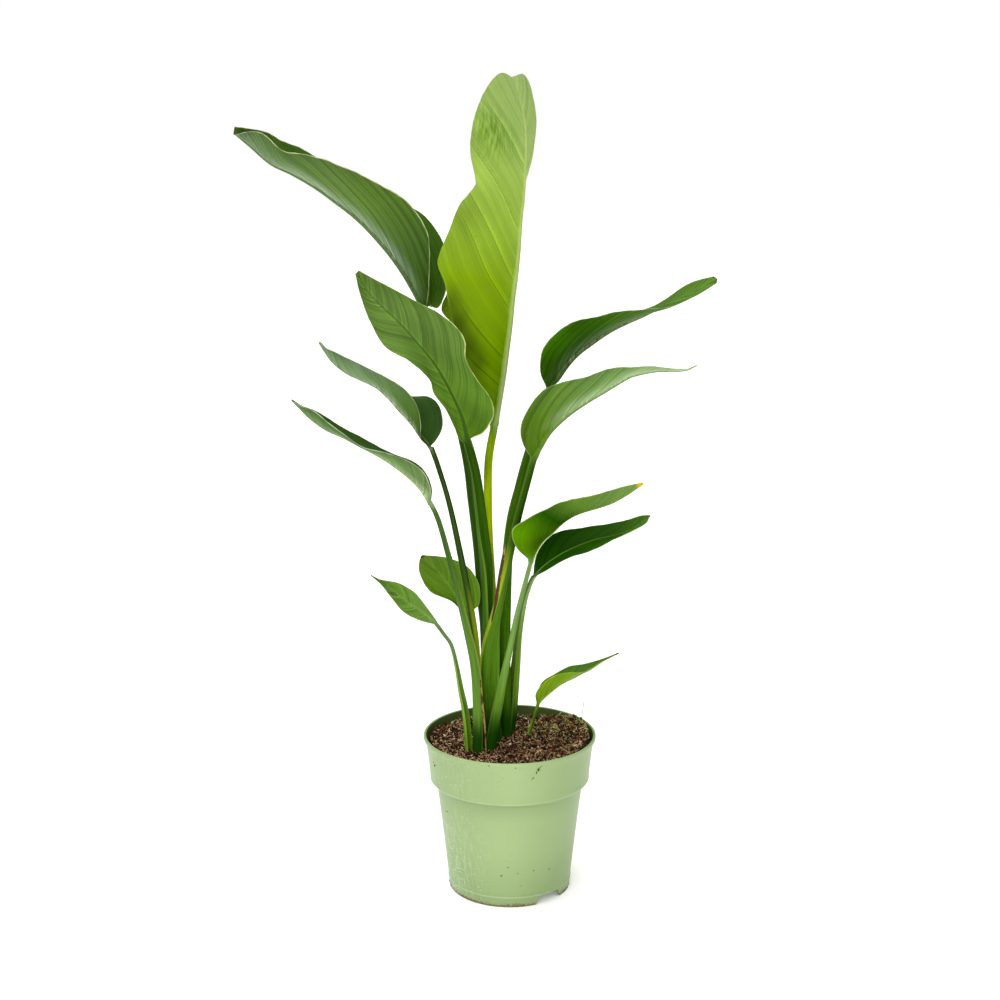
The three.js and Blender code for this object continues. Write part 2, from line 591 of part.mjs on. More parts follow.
// ---- assembly -----------------------------------------------------------
const named = (name, geometry, material) => {
  const mesh = new THREE.Mesh(geometry, material);
  mesh.name = name;
  return mesh;
};

const plant = new THREE.Group();
for (const [name, leaf] of Object.entries(leaves)) {
  plant.add(named(name, leafGeometry(leaf), YOUNG.includes(name) ? youngLeaf : darkLeaf));
}

const container = new THREE.Group();
container.add(named('pot', potGeometry(), potPlastic), named('soil', soilGeometry(), peat));

const potted = new THREE.Group();
potted.add(container, plant);
export default potted;
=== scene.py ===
"""Potted bird of paradise: a clump of paddle-leaved stalks in a grower's pot of peat.

Metres, +Z up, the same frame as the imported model. Sizes inside a section are
in millimetres unless their name says otherwise and are turned to metres by MM.
"""
import math
import random

import bpy
import numpy as np
from mathutils import Matrix, Vector, noise


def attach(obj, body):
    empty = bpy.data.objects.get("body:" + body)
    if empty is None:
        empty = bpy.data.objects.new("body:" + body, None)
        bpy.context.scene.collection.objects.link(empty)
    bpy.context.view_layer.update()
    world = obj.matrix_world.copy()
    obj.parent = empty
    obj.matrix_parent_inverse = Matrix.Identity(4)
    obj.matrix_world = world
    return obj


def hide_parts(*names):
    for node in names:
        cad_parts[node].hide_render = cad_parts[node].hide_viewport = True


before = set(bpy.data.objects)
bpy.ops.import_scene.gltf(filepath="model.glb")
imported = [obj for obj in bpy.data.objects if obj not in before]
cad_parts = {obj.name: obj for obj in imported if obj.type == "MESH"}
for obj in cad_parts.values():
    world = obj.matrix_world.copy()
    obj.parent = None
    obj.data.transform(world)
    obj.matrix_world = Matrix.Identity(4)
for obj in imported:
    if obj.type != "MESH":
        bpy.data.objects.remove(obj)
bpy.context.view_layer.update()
MM = 0.001


# ---------------------------------------------------------------- camera
# The viewing angle: standing in front of the plant, lens a little below its
# tallest leaf, looking slightly down. Focal length 60 mm on a 36 mm sensor.
LENS_MM, SENSOR_MM = 60.0, 36.0
CAMERA_AT = (-0.0118, -1.927, 0.906)
CAMERA_PITCH = 12.33                                  # degrees below level

camera_data = bpy.data.cameras.new("camera")
camera_data.lens = LENS_MM
camera_data.sensor_width = SENSOR_MM
camera = bpy.data.objects.new("camera", camera_data)
bpy.context.collection.objects.link(camera)
camera.location = CAMERA_AT
camera.rotation_euler = (math.radians(90 - CAMERA_PITCH), 0, 0)
bpy.context.scene.camera = camera


# ---------------------------------------------------------------- studio
# A white light tent: pale floor, a bank of lamps overhead, a bright front and
# dimmer sides and back, with one large soft key near the lens, a little left.
FLOOR_SIZE = 40.0
TENT_SIDES, TENT_TOP = 0.34, 1.1
TENT_FRONT, TENT_BACK = 1.35, 0.5
TOP_STRENGTH, TOP_SPREAD, TOP_TILT = 1.9, 70, (-8, -16)   # angles in degrees
KEY_AT, KEY_AIM, KEY_SIZE, KEY_POWER = (-0.6, -2.4, 1.9), (0, 0, 0.5), 1.4, 20.0
FLOOR_GLOW = 0.15                                     # lit from below too, so shadows stay faint
FLOOR_GAP = 0.0004                                    # just below the pot's foot


def hex_linear(code):
    """sRGB hex such as '#a1be64' to linear RGBA."""
    values = [int(code[i:i + 2], 16) / 255 for i in (1, 3, 5)]
    return tuple(v / 12.92 if v <= 0.04045 else ((v + 0.055) / 1.055) ** 2.4 for v in values) + (1.0,)


COLOURS = {"data_type": "RGBA"}                         # for a mix of two colours
EASED = {"interpolation_type": "SMOOTHSTEP"}          # for a range with soft ends


def add_node(tree, kind, settings=None, sockets=None, **named):
    """Add one shader node. settings are its properties, or only its operation; sockets and
    named give inputs a value or a link."""
    node = tree.nodes.new("ShaderNode" + kind)
    if isinstance(settings, str):
        settings = {"operation": settings}
    for key, value in (settings or {}).items():
        setattr(node, key, value)
    inputs = dict(sockets or {}, **{key.replace("_", " "): value for key, value in named.items()})
    for key, value in inputs.items():
        if isinstance(value, bpy.types.NodeSocket):
            tree.links.new(value, node.inputs[key])
        else:
            node.inputs[key].default_value = value
    return node


def new_material(name):
    material = bpy.data.materials.new(name)
    material.use_nodes = True
    tree = material.node_tree
    tree.nodes.clear()
    return material, tree


def softbox(name, place, target, size, power):
    light = bpy.data.lights.new(name, "AREA")
    light.shape, light.size, light.energy = "DISK", size, power
    lamp = bpy.data.objects.new(name, light)
    bpy.context.collection.objects.link(lamp)
    lamp.location = place
    lamp.rotation_euler = (Vector(target) - Vector(place)).to_track_quat("-Z", "Y").to_euler()


# the surround is a light tent: bright overhead, dimmer at eye level, and plain
# white where the lens sees it behind the plant
world = bpy.data.worlds.new("white_surround")
bpy.context.scene.world = world
world.use_nodes = True
tree = world.node_tree
tree.nodes.clear()
direction = add_node(tree, "SeparateXYZ", Vector=add_node(tree, "TexCoord").outputs["Generated"])
towards_camera = add_node(tree, "MapRange", Value=direction.outputs["Y"], From_Min=-1.0, From_Max=1.0,
    To_Min=TENT_FRONT, To_Max=TENT_BACK).outputs[0]
strength = add_node(tree, "MapRange", Value=direction.outputs["Z"], From_Min=-0.1, From_Max=0.9,
    To_Min=TENT_SIDES, To_Max=TENT_TOP).outputs[0]
tent = add_node(tree, "Background", Color=(1, 1, 1, 1), Strength=add_node(
    tree, "Math", "MULTIPLY", {0: strength, 1: towards_camera}).outputs[0]).outputs[0]
plain = add_node(tree, "Background", Color=(1, 1, 1, 1), Strength=1.0).outputs[0]
camera_ray = add_node(tree, "LightPath").outputs["Is Camera Ray"]
add_node(tree, "OutputWorld", Surface=add_node(tree, "MixShader",
        sockets={0: camera_ray, 1: tent, 2: plain}).outputs[0])
bpy.context.scene.view_settings.view_transform = "Standard"

top_light = bpy.data.lights.new("overhead_bank", "SUN")
top_light.angle, top_light.energy = math.radians(TOP_SPREAD), TOP_STRENGTH
top_lamp = bpy.data.objects.new("overhead_bank", top_light)
bpy.context.collection.objects.link(top_lamp)
top_lamp.rotation_euler = (math.radians(TOP_TILT[0]), math.radians(TOP_TILT[1]), 0)
softbox("key_softbox", KEY_AT, KEY_AIM, KEY_SIZE, KEY_POWER)

bpy.ops.object.select_all(action="DESELECT")
bpy.ops.mesh.primitive_plane_add(size=FLOOR_SIZE, location=(0, 0, -FLOOR_GAP))
floor = bpy.context.object
floor.name = "studio_floor"
paper, tree = new_material("matt_white_sweep")        # painted board, no gloss
shader = add_node(tree, "BsdfPrincipled", Base_Color=(0.95, 0.95, 0.945, 1), Roughness=0.95,
                  Emission_Color=(1, 1, 1, 1), Emission_Strength=FLOOR_GLOW)
add_node(tree, "OutputMaterial", sockets={"Surface": shader.outputs[0]})
floor.data.materials.append(paper)


# ---------------------------------------------------------------- pot
# Grower's pot: thin-walled polypropylene, injection moulded, with a wide rim
# band, a raised floor with drain holes and two notches through its foot.
POT_HEIGHT, RIM_RADIUS, FOOT_RADIUS = 194.0, 105.0, 74.3
POT_OUTSIDE = [                                       # [radius, z] from the foot up
    (FOOT_RADIUS, 0), (74.9, 6), (75.2, 11.2), (75.9, 11.8), (75.9, 13.0), (75.5, 13.6),
    (77.5, 33), (81.2, 66), (85.0, 99), (88.2, 124), (88.9, 130.4), (89.5, 132.8), (91.6, 135.2),
    (95.2, 137.9), (96.9, 139.0), (97.3, 139.6), (97.5, 140.6), (97.3, 141.6), (98.0, 152), (99.0, 161),
    (100.2, 172),
    (101.4, 181), (102.6, 186.6), (103.6, 188.4), (104.7, 189.6), (RIM_RADIUS, 190.8),
    (RIM_RADIUS, 193.0), (104.5, 193.8), (103.8, POT_HEIGHT),
]
POT_INSIDE = [                                        # [radius, z] from the lip down
    (102.6, POT_HEIGHT), (101.9, 193.5), (101.4, 192.0), (101.0, 188), (99.6, 180), (98.4, 172),
    (96.0, 149), (93.2, 143), (88.3, 134), (87.2, 128), (76.2, 30), (74.4, 16), (73.2, 14.2),
]
POT_FLOOR = [(58, 14), (41, 14), (38, 12), (35.4, 3), (33.5, 2), (12, 2)]
POT_UNDERSIDE = [(12, 0), (33.2, 0), (34.2, 0.5), (38, 11.4), (39, 12), (58, 12), (71.2, 12), (71.8, 11.2),
    (72.2, 0.6), (72.8, 0)]
POT_SIDES = 240
FOOT_NOTCH_WIDTH, FOOT_NOTCH_HEIGHT, FOOT_NOTCH_ANGLES = 35.0, 11.4, (-50, 130)
FOOT_NOTCH_TOP_SHARE = 0.78
DRAIN_DIAMETER, DRAIN_CIRCLE, DRAIN_COUNT = 9.0, 55.0, 8


def finish_piece(piece, material, smooth_angle=None):
    """Place in the mesh, one material, riding on the plant's only body."""
    bpy.ops.object.select_all(action="DESELECT")
    piece.select_set(True)
    bpy.context.view_layer.objects.active = piece
    bpy.ops.object.transform_apply(location=True, rotation=True, scale=True)
    piece.data.materials.clear()
    piece.data.materials.append(material)
    if smooth_angle is not None:
        bpy.ops.object.shade_smooth_by_angle(angle=math.radians(smooth_angle))
    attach(piece, "root")


def apply_modifier(piece, kind, **settings):
    bpy.context.view_layer.objects.active = piece
    modifier = piece.modifiers.new(kind.lower(), kind)
    for key, value in settings.items():
        setattr(modifier, key, value)
    bpy.ops.object.modifier_apply(modifier=modifier.name)


def turned_shell(name, profile, sides):
    """Extrude a ring through every [radius, z] of a profile."""
    bpy.ops.object.select_all(action="DESELECT")
    radius, height = profile[0]
    bpy.ops.mesh.primitive_circle_add(vertices=sides, radius=radius * MM, location=(0, 0, height * MM))
    shell = bpy.context.object
    shell.name = name
    bpy.ops.object.transform_apply(location=True)
    bpy.ops.object.mode_set(mode="EDIT")
    bpy.ops.mesh.select_all(action="SELECT")
    for (r0, z0), (r1, z1) in zip(profile, profile[1:]):
        bpy.ops.mesh.extrude_edges_move(TRANSFORM_OT_translate={"value": (0, 0, (z1 - z0) * MM)})
        bpy.ops.transform.resize(value=(r1 / r0, r1 / r0, 1), center_override=(0, 0, z1 * MM))
    bpy.ops.object.mode_set(mode="OBJECT")
    return shell


profile = POT_OUTSIDE + POT_INSIDE + POT_FLOOR + POT_UNDERSIDE
pot = turned_shell("pot_shell", profile, POT_SIDES)
bpy.ops.object.mode_set(mode="EDIT")
bpy.ops.mesh.select_all(action="DESELECT")
bpy.ops.mesh.select_non_manifold()
bpy.ops.mesh.bridge_edge_loops()                      # last ring of the underside to the foot
bpy.ops.mesh.select_all(action="SELECT")
bpy.ops.mesh.normals_make_consistent(inside=False)
bpy.ops.object.mode_set(mode="OBJECT")


def cut_away(piece, cutter):
    apply_modifier(piece, "BOOLEAN", operation="DIFFERENCE", object=cutter, solver="EXACT")
    bpy.data.objects.remove(cutter, do_unlink=True)


for angle in FOOT_NOTCH_ANGLES:                       # wider at the floor than at the top
    bpy.ops.object.select_all(action="DESELECT")
    turn = math.radians(angle)
    bpy.ops.mesh.primitive_cube_add(
        size=1, location=(FOOT_RADIUS * MM * math.cos(turn), FOOT_RADIUS * MM * math.sin(turn),
            (FOOT_NOTCH_HEIGHT / 2 - 2) * MM),
        rotation=(0, 0, turn), scale=(14 * MM, FOOT_NOTCH_WIDTH * MM, (FOOT_NOTCH_HEIGHT + 4) * MM))
    cutter = bpy.context.object
    for vertex in cutter.data.vertices:
        vertex.co.y *= FOOT_NOTCH_TOP_SHARE if vertex.co.z > 0 else 2 - FOOT_NOTCH_TOP_SHARE
    cut_away(pot, cutter)
for i in range(DRAIN_COUNT):
    turn = (i + 0.5) * 2 * math.pi / DRAIN_COUNT
    bpy.ops.object.select_all(action="DESELECT")
    bpy.ops.mesh.primitive_cylinder_add(
        vertices=40, radius=DRAIN_DIAMETER / 2 * MM, depth=6 * MM,
        location=(DRAIN_CIRCLE * MM * math.cos(turn), DRAIN_CIRCLE * MM * math.sin(turn), 13 * MM))
    cut_away(pot, bpy.context.object)

# Moulded polypropylene, pale sage, half matt: a soft broad highlight and fine
# moulding grain, with painted shade towards its left and right sides and its foot.
# It has faded on its left, where lime has run down in streaks and handling left
# scuffs; dirt sits along the foot. Painted shade lies under the rim band, and
# painted highlights run along its ledge and along the ring above the foot. Inside,
# the wall is drawn dark: painted shade and a stain from wet peat.
POT_SAGE, POT_SAGE_DEEP, POT_SHADE = "#98ae75", "#809860", "#7d9560"
POT_STAIN_AND_SHADE, POT_DUST, POT_SCUFF_AND_HIGHLIGHT = "#42551f", "#6b5536", "#ccd8bc"
pot_plastic, tree = new_material("moulded_sage_polypropylene")
place = add_node(tree, "TexCoord").outputs["Object"]
axes = add_node(tree, "SeparateXYZ", None, {"Vector": place})
off_centre = add_node(tree, "Math", "ABSOLUTE", {0: axes.outputs["X"]}).outputs[0]
# painted shade: the plastic drawn darker towards the foot
painted_foot_shade = add_node(tree, "MapRange", None,
    {"Value": axes.outputs["Z"], "From Min": 0.07, "From Max": 0.0, "To Min": -0.05,
        "To Max": 0.6}).outputs[0]
# painted shade: darker towards the left and right sides as seen from the front, leaving the front lighter;
# the clouds are the plastic's own uneven tone
sides = add_node(tree, "MapRange", None,
    {"Value": off_centre, "From Min": 0.008, "From Max": 0.085, "To Max": 0.8}).outputs[0]
sides = add_node(tree, "Math", "ADD", {0: sides, 1: painted_foot_shade}).outputs[0]
clouds = add_node(tree, "TexNoise", None, {"Vector": place, "Scale": 14.0, "Detail": 3.0}).outputs["Fac"]
share = add_node(tree, "Math", "MULTIPLY_ADD", {0: clouds, 1: 0.4, 2: sides}).outputs[0]
colour = add_node(tree, "Mix", COLOURS,
    {0: share, 6: hex_linear(POT_SAGE), 7: hex_linear(POT_SAGE_DEEP)}).outputs[2]
left = add_node(tree, "MapRange", EASED,
    {"Value": axes.outputs["X"], "From Min": -0.012, "From Max": -0.066}).outputs[0]
low = add_node(tree, "MapRange", EASED,
    {"Value": axes.outputs["Z"], "From Min": 0.135, "From Max": 0.04, "To Min": 0.35}).outputs[0]
weathered = add_node(tree, "Math", "MULTIPLY", {0: left, 1: low}).outputs[0]
# stains and scuffs, and also the painted highlights and painted shade of the rim ledge, are gathered in
# this list
stains_and_painted_light = []  # where each kind of mark lies, with its colour
# lime streaks about 2 mm wide and 30 mm long; chalky flecks; thin level scuffs
for scale, stretch, start, end, most in ((430.0, (1, 1, 0.07), 0.48, 0.7, 0.27),
        (380.0, (1, 1, 1), 0.64, 0.69, 0.85), (75.0, (1, 1, 7), 0.65, 0.7, 0.5)):
    run = add_node(tree, "Mapping", None, {"Vector": place, "Scale": stretch}).outputs[0]
    marks = add_node(tree, "TexNoise", None, {"Vector": run, "Scale": scale, "Detail": 3.0}).outputs["Fac"]
    marks = add_node(tree, "MapRange", None,
        {"Value": marks, "From Min": start, "From Max": end, "To Max": most}).outputs[0]
    marks = add_node(tree, "Math", "MULTIPLY", {0: marks, 1: weathered}).outputs[0]
    stains_and_painted_light.append((marks, POT_SCUFF_AND_HIGHLIGHT))
# bands, from start to end and strongest from full to fading: a painted highlight along the
# ledge of the rim band and along the ring above the foot; painted shade under the ledge
for start, full, fading, end, most, code in (
        (0.1388, 0.1398, 0.1398, 0.1414, 0.2, POT_SCUFF_AND_HIGHLIGHT),
        (0.0112, 0.0122, 0.0122, 0.0138, 0.3, POT_SCUFF_AND_HIGHLIGHT),
        (0.112, 0.1375, 0.138, 0.1392, 0.75, POT_SHADE)):
    rise = add_node(tree, "MapRange", None,
        {"Value": axes.outputs["Z"], "From Min": start, "From Max": full, "To Max": most}).outputs[0]
    fall = add_node(tree, "MapRange", None,
        {"Value": axes.outputs["Z"], "From Min": end, "From Max": fading}).outputs[0]
    stains_and_painted_light.append((add_node(tree, "Math", "MULTIPLY", {0: rise, 1: fall}).outputs[0], code))
# peat dirt in grains: here and there on the wall, dense along the foot
grains = add_node(tree, "TexNoise", None,
    {"Vector": place, "Scale": 560.0, "Detail": 3.0, "Roughness": 0.7}).outputs["Fac"]
areas = add_node(tree, "TexNoise", None, {"Vector": place, "Scale": 24.0, "Detail": 2.0}).outputs["Fac"]
gather = add_node(tree, "MapRange", EASED,
    {"Value": axes.outputs["Z"], "From Min": 0.0075, "From Max": 0.0, "To Max": 0.42}).outputs[0]
gather = add_node(tree, "Math", "MULTIPLY_ADD", {0: areas, 1: 0.45, 2: gather}).outputs[0]
marks = add_node(tree, "Math", "ADD", {0: grains, 1: gather}).outputs[0]
marks = add_node(tree, "MapRange", None,
    {"Value": marks, "From Min": 0.94, "From Max": 1.02, "To Max": 0.85}).outputs[0]
stains_and_painted_light.append((marks, POT_DUST))
# painted shade on the wall inside, with a stain from wet peat
inner_radius = add_node(tree, "VectorMath", "LENGTH", {
    0: add_node(tree, "VectorMath", "MULTIPLY", {0: place, 1: (1, 1, 0)}).outputs[0]})
wall_line = add_node(tree, "MapRange", sockets={"Value": axes.outputs["Z"]},
                     From_Min=0.147, From_Max=0.192, To_Min=0.0964, To_Max=0.1019)
inside = add_node(tree, "Math", "LESS_THAN",
    sockets={0: inner_radius.outputs["Value"], 1: wall_line.outputs[0]})
above = add_node(tree, "Math", "GREATER_THAN", sockets={0: axes.outputs["Z"], 1: 0.15})
stain_and_shade_mask = add_node(tree, "Math", "MULTIPLY", sockets={0: inside.outputs[0], 1: above.outputs[0]})
stains_and_painted_light.append((stain_and_shade_mask.outputs[0], POT_STAIN_AND_SHADE))
for mask, code in stains_and_painted_light:
    colour = add_node(tree, "Mix", COLOURS, {0: mask, 6: colour, 7: hex_linear(code)}).outputs[2]
grain = add_node(tree, "TexNoise", sockets={"Vector": place}, Scale=1400.0, Detail=2.0)
relief = add_node(tree, "Bump", sockets={"Height": grain.outputs["Fac"]}, Strength=0.12, Distance=0.0004)
shader = add_node(tree, "BsdfPrincipled", sockets={"Base Color": colour, "Normal": relief.outputs[0]},
    Roughness=0.42, IOR=1.49)
add_node(tree, "OutputMaterial", sockets={"Surface": shader.outputs[0]})

finish_piece(pot, pot_plastic, smooth_angle=22)
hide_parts("pot")


# ---------------------------------------------------------------- soil
# Loose peat potting mix: dark damp crumbs, tan fibres and bark bits, and a few
# white perlite grains, heaped at the back right and low along the front right.
SOIL_LEVEL = 177.0
SOIL_RADIUS = 98.4
SOIL_RINGS, SOIL_SPOKES = 70, 220
SOIL_DEPTH, SOIL_BOTTOM, SOIL_TAPER = 30, 145, 0.955  # how far the skirt goes down, to which z
EDGE_FROM = 92                                        # radius from which the surface sinks to the wall


def soil_height(x, y):
    """Height of the loose surface in mm."""
    heap = 11 * math.exp(-((x - 78) ** 2 + (y - 38) ** 2) / 1500)
    dip = -5 * math.exp(-((x - 62) ** 2 + (y + 74) ** 2) / 700)
    crown = 3.5 * math.exp(-((x + 18) ** 2 + (y - 8) ** 2) / 2600)
    lumps = 1.1 * math.sin(x * 0.19 + y * 0.11) * math.cos(y * 0.23 - x * 0.07)
    radius = max(1.0, math.hypot(x, y))
    bank = min(1.0, max(0.0, (radius - 66) / 28)) ** 2 * (6 + 4.5 * abs(x) / radius + max(0.0, x) / radius
        - 3 * y / radius)
    return SOIL_LEVEL + heap + dip + crown + lumps + bank


bpy.ops.object.select_all(action="DESELECT")
bpy.ops.mesh.primitive_circle_add(vertices=SOIL_SPOKES, radius=1 * MM, fill_type="NGON", location=(0, 0, 0))
soil = bpy.context.object
soil.name = "soil_bed"
bpy.ops.object.mode_set(mode="EDIT")
bpy.ops.mesh.select_all(action="SELECT")
bpy.ops.mesh.poke()
bpy.ops.mesh.select_all(action="DESELECT")
bpy.ops.mesh.select_non_manifold()
for ring in range(1, SOIL_RINGS):
    step = (1 + (SOIL_RADIUS - 1) * ring / (SOIL_RINGS - 1)) / (1 + (SOIL_RADIUS - 1) * (ring - 1)
        / (SOIL_RINGS - 1))
    bpy.ops.mesh.extrude_edges_move(TRANSFORM_OT_translate={"value": (0, 0, 0)})
    bpy.ops.transform.resize(value=(step, step, 1), center_override=(0, 0, 0))
bpy.ops.object.mode_set(mode="OBJECT")
for vertex in soil.data.vertices:
    x, y = vertex.co.x / MM, vertex.co.y / MM
    crumbs = 2.2 * noise.noise(Vector((x, y, 3)) / 6) + 1.8 * noise.noise(Vector((x, y, 9)) / 2.2)
    edge = max(0.0, (math.hypot(x, y) - EDGE_FROM) / (SOIL_RADIUS - EDGE_FROM))
    vertex.co.z = (soil_height(x, y) + crumbs - 1.5 - (3 if x < 20 else 1) * edge) * MM
bpy.ops.object.mode_set(mode="EDIT")                  # skirt down inside the wall and a closed bottom
bpy.ops.mesh.select_all(action="DESELECT")
bpy.ops.mesh.select_non_manifold()
bpy.ops.mesh.extrude_edges_move(TRANSFORM_OT_translate={"value": (0, 0, -SOIL_DEPTH * MM)})
bpy.ops.transform.resize(value=(SOIL_TAPER, SOIL_TAPER, 0), center_override=(0, 0, SOIL_BOTTOM * MM))
bpy.ops.mesh.edge_face_add()
bpy.ops.mesh.select_all(action="SELECT")
bpy.ops.mesh.normals_make_consistent(inside=False)
bpy.ops.object.mode_set(mode="OBJECT")

# Damp peat: almost black in the hollows, dark to mid brown on the crumbs, with
# fine tan fibres; no gloss.
PEAT_DARK, PEAT_MID, PEAT_TAN = "#120603", "#62351e", "#ac7f50"


def peat_material(name, dark, mid, light, light_share):
    material, tree = new_material(name)
    place = add_node(tree, "TexCoord").outputs["Object"]
    tone = add_node(tree, "Attribute", {"attribute_name": "tone"})
    clod = add_node(tree, "TexNoise", sockets={"Vector": place}, Scale=230.0, Detail=6.0, Roughness=0.75)
    mixed = add_node(tree, "Math", "MULTIPLY_ADD",
        sockets={0: tone.outputs["Fac"], 1: 0.55, 2: clod.outputs["Fac"]})
    ramp = add_node(tree, "ValToRGB", sockets={"Fac": mixed.outputs[0]})
    ramp.color_ramp.elements[0].position, ramp.color_ramp.elements[0].color = 0.40, hex_linear(dark)
    ramp.color_ramp.elements[1].position, ramp.color_ramp.elements[1].color = 1.0 - light_share, hex_linear(
        mid)
    stop = ramp.color_ramp.elements.new(1.0 - light_share * 0.3)
    stop.color = hex_linear(light)
    bump = add_node(tree, "Bump", sockets={"Height": clod.outputs["Fac"]}, Strength=0.8, Distance=0.0015)
    shader = add_node(tree, "BsdfPrincipled",
        sockets={"Base Color": ramp.outputs[0], "Normal": bump.outputs[0]}, Roughness=0.95,
        Specular_IOR_Level=0.2)
    add_node(tree, "OutputMaterial", sockets={"Surface": shader.outputs[0]})
    return material


wet_peat = peat_material("wet_peat_bed", "#0c0503", "#2a140b", "#4e2e1c", 0.3)
finish_piece(soil, wet_peat, smooth_angle=60)
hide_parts("soil")


def scatter(name, count, seed, shape, size_range, flatten, lift, tone_range, slot_material, around=None,
        places=None):
    """Copy one small shape many times, each turned, sized and toned differently: all over the soil,
    around one spot of it, [x, y, spread], or at given places, [x, y, z, size]."""
    draw = random.Random(seed)
    points, faces, tones = [], [], []
    base_points = np.array([v.co[:] for v in shape.data.vertices])
    base_faces = [tuple(p.vertices) for p in shape.data.polygons]
    for number in range(count):
        radius = (SOIL_RADIUS - 2.5) * math.sqrt(draw.random())
        angle = draw.uniform(0, 2 * math.pi)
        x, y = radius * math.cos(angle), radius * math.sin(angle)
        if around:
            x, y = draw.gauss(around[0], around[2]), draw.gauss(around[1], around[2])
            shrink = min(1.0, (SOIL_RADIUS - 3) / math.hypot(x, y))
            x, y = x * shrink, y * shrink
        size = draw.uniform(*size_range) * (1 if draw.random() < 0.8 else 1.5)
        spin = Matrix.Rotation(draw.uniform(0, 6.283), 3, "Z") @ Matrix.Rotation(draw.gauss(0, flatten), 3,
            "X") @ Matrix.Rotation(draw.gauss(0, flatten), 3, "Y")
        stretch = Matrix.Diagonal((draw.uniform(0.75, 1.35), draw.uniform(0.75, 1.25),
                draw.uniform(0.6, 1.0)))
        place = np.array((x, y, soil_height(x, y) + lift * size + draw.uniform(-1.0, 1.2)))
        if places:
            place, size = np.array(places[number][:3]), places[number][3]
        local = base_points @ np.array(stretch) @ np.array(spin).T * size
        start = len(points)
        points.extend(((local + place) * MM).tolist())
        faces.extend(tuple(i + start for i in face) for face in base_faces)
        tones.extend([draw.uniform(*tone_range)] * len(base_points))
    mesh = bpy.data.meshes.new(name)
    mesh.from_pydata(points, [], faces)
    mesh.attributes.new("tone", "FLOAT", "POINT").data.foreach_set("value", tones)
    piece = bpy.data.objects.new(name, mesh)
    bpy.context.collection.objects.link(piece)
    bpy.data.objects.remove(shape, do_unlink=True)
    finish_piece(piece, slot_material, smooth_angle=50)


def rough_lump(seed, roughness, rounds=1):
    bpy.ops.object.select_all(action="DESELECT")
    bpy.ops.mesh.primitive_ico_sphere_add(subdivisions=rounds, radius=0.5, location=(0, 0, 0))
    lump = bpy.context.object
    for vertex in lump.data.vertices:
        vertex.co *= 1 + roughness * noise.noise(vertex.co * 3 + Vector((seed, 0, 0)))
    return lump


peat = peat_material("damp_peat", PEAT_DARK, PEAT_MID, PEAT_TAN, 0.28)
scatter("peat_crumbs_fine", 4600, 11, rough_lump(1.7, 1.1), (0.7, 2.0), 1.0, 0.35, (-0.55, 0.95), peat)
scatter("peat_crumbs_coarse", 520, 12, rough_lump(5.2, 1.2, 2), (2.0, 4.0), 1.0, 0.12, (-0.4, 0.55), peat)

# Chips of bark and dry peat turf, paler than the crumbs.
bark = peat_material("dry_bark_chip", "#4a3020", "#8f6a48", "#cdb086", 0.35)
scatter("bark_chips", 430, 13, rough_lump(8.9, 0.7), (1.0, 2.8), 0.6, 0.35, (0.1, 1.1), bark)

# Bits of moss, dull olive, on the drier heap at the back right.
moss = peat_material("dry_moss", "#1c1e08", "#5a5c22", "#989650", 0.3)
scatter("moss_bits", 420, 16, rough_lump(6.1, 1.0), (0.9, 2.4), 0.8, 0.5, (-0.1, 0.8), moss,
    around=(58, 38, 24))


def fibre_strip():
    """A short flat curved strand, 1 unit long."""
    bpy.ops.object.select_all(action="DESELECT")
    bpy.ops.mesh.primitive_cylinder_add(vertices=5, radius=0.042, depth=1, location=(0, 0, 0),
        rotation=(0, math.pi / 2, 0))
    strand = bpy.context.object
    bpy.ops.object.transform_apply(rotation=True)
    bpy.ops.object.mode_set(mode="EDIT")
    for cut in (-0.3, -0.1, 0.1, 0.3):
        bpy.ops.mesh.select_all(action="SELECT")
        bpy.ops.mesh.bisect(plane_co=(cut, 0, 0), plane_no=(1, 0, 0))
    bpy.ops.object.mode_set(mode="OBJECT")
    for vertex in strand.data.vertices:
        bend = vertex.co.x
        vertex.co.y += 0.16 * math.cos(bend * 3.1)
        vertex.co.z += 0.10 * math.sin(bend * 4.2)
    return strand


fibre = peat_material("coir_fibre", "#1c0e07", "#875e36", "#dfc294", 0.42)
scatter("tan_fibres", 2600, 14, fibre_strip(), (2.4, 6.5), 0.6, 0.16, (-0.6, 1.25), fibre)

# Perlite: expanded volcanic glass, chalk white, 2 to 4 mm.
perlite, tree = new_material("white_perlite")
grit = add_node(tree, "TexNoise", sockets={"Vector": add_node(tree, "TexCoord").outputs["Object"]},
    Scale=900.0, Detail=3.0)
grey = add_node(tree, "Mix", COLOURS, {
    0: grit.outputs["Fac"], 6: hex_linear("#f0e6d2"), 7: hex_linear("#c8bca2")})
bump = add_node(tree, "Bump", sockets={"Height": grit.outputs["Fac"]}, Strength=0.6, Distance=0.0006)
shader = add_node(tree, "BsdfPrincipled",
    sockets={"Base Color": grey.outputs[2], "Normal": bump.outputs[0]}, Roughness=0.9)
add_node(tree, "OutputMaterial", sockets={"Surface": shader.outputs[0]})
scatter("perlite_grains", 70, 15, rough_lump(3.3, 0.8), (0.7, 1.9), 1.0, 0.5, (0, 1), perlite)
scatter("perlite_grains_front", 40, 17, rough_lump(3.9, 0.8), (0.7, 1.8), 1.0, 0.6, (0, 1), perlite,
    around=(-38, -72, 22))

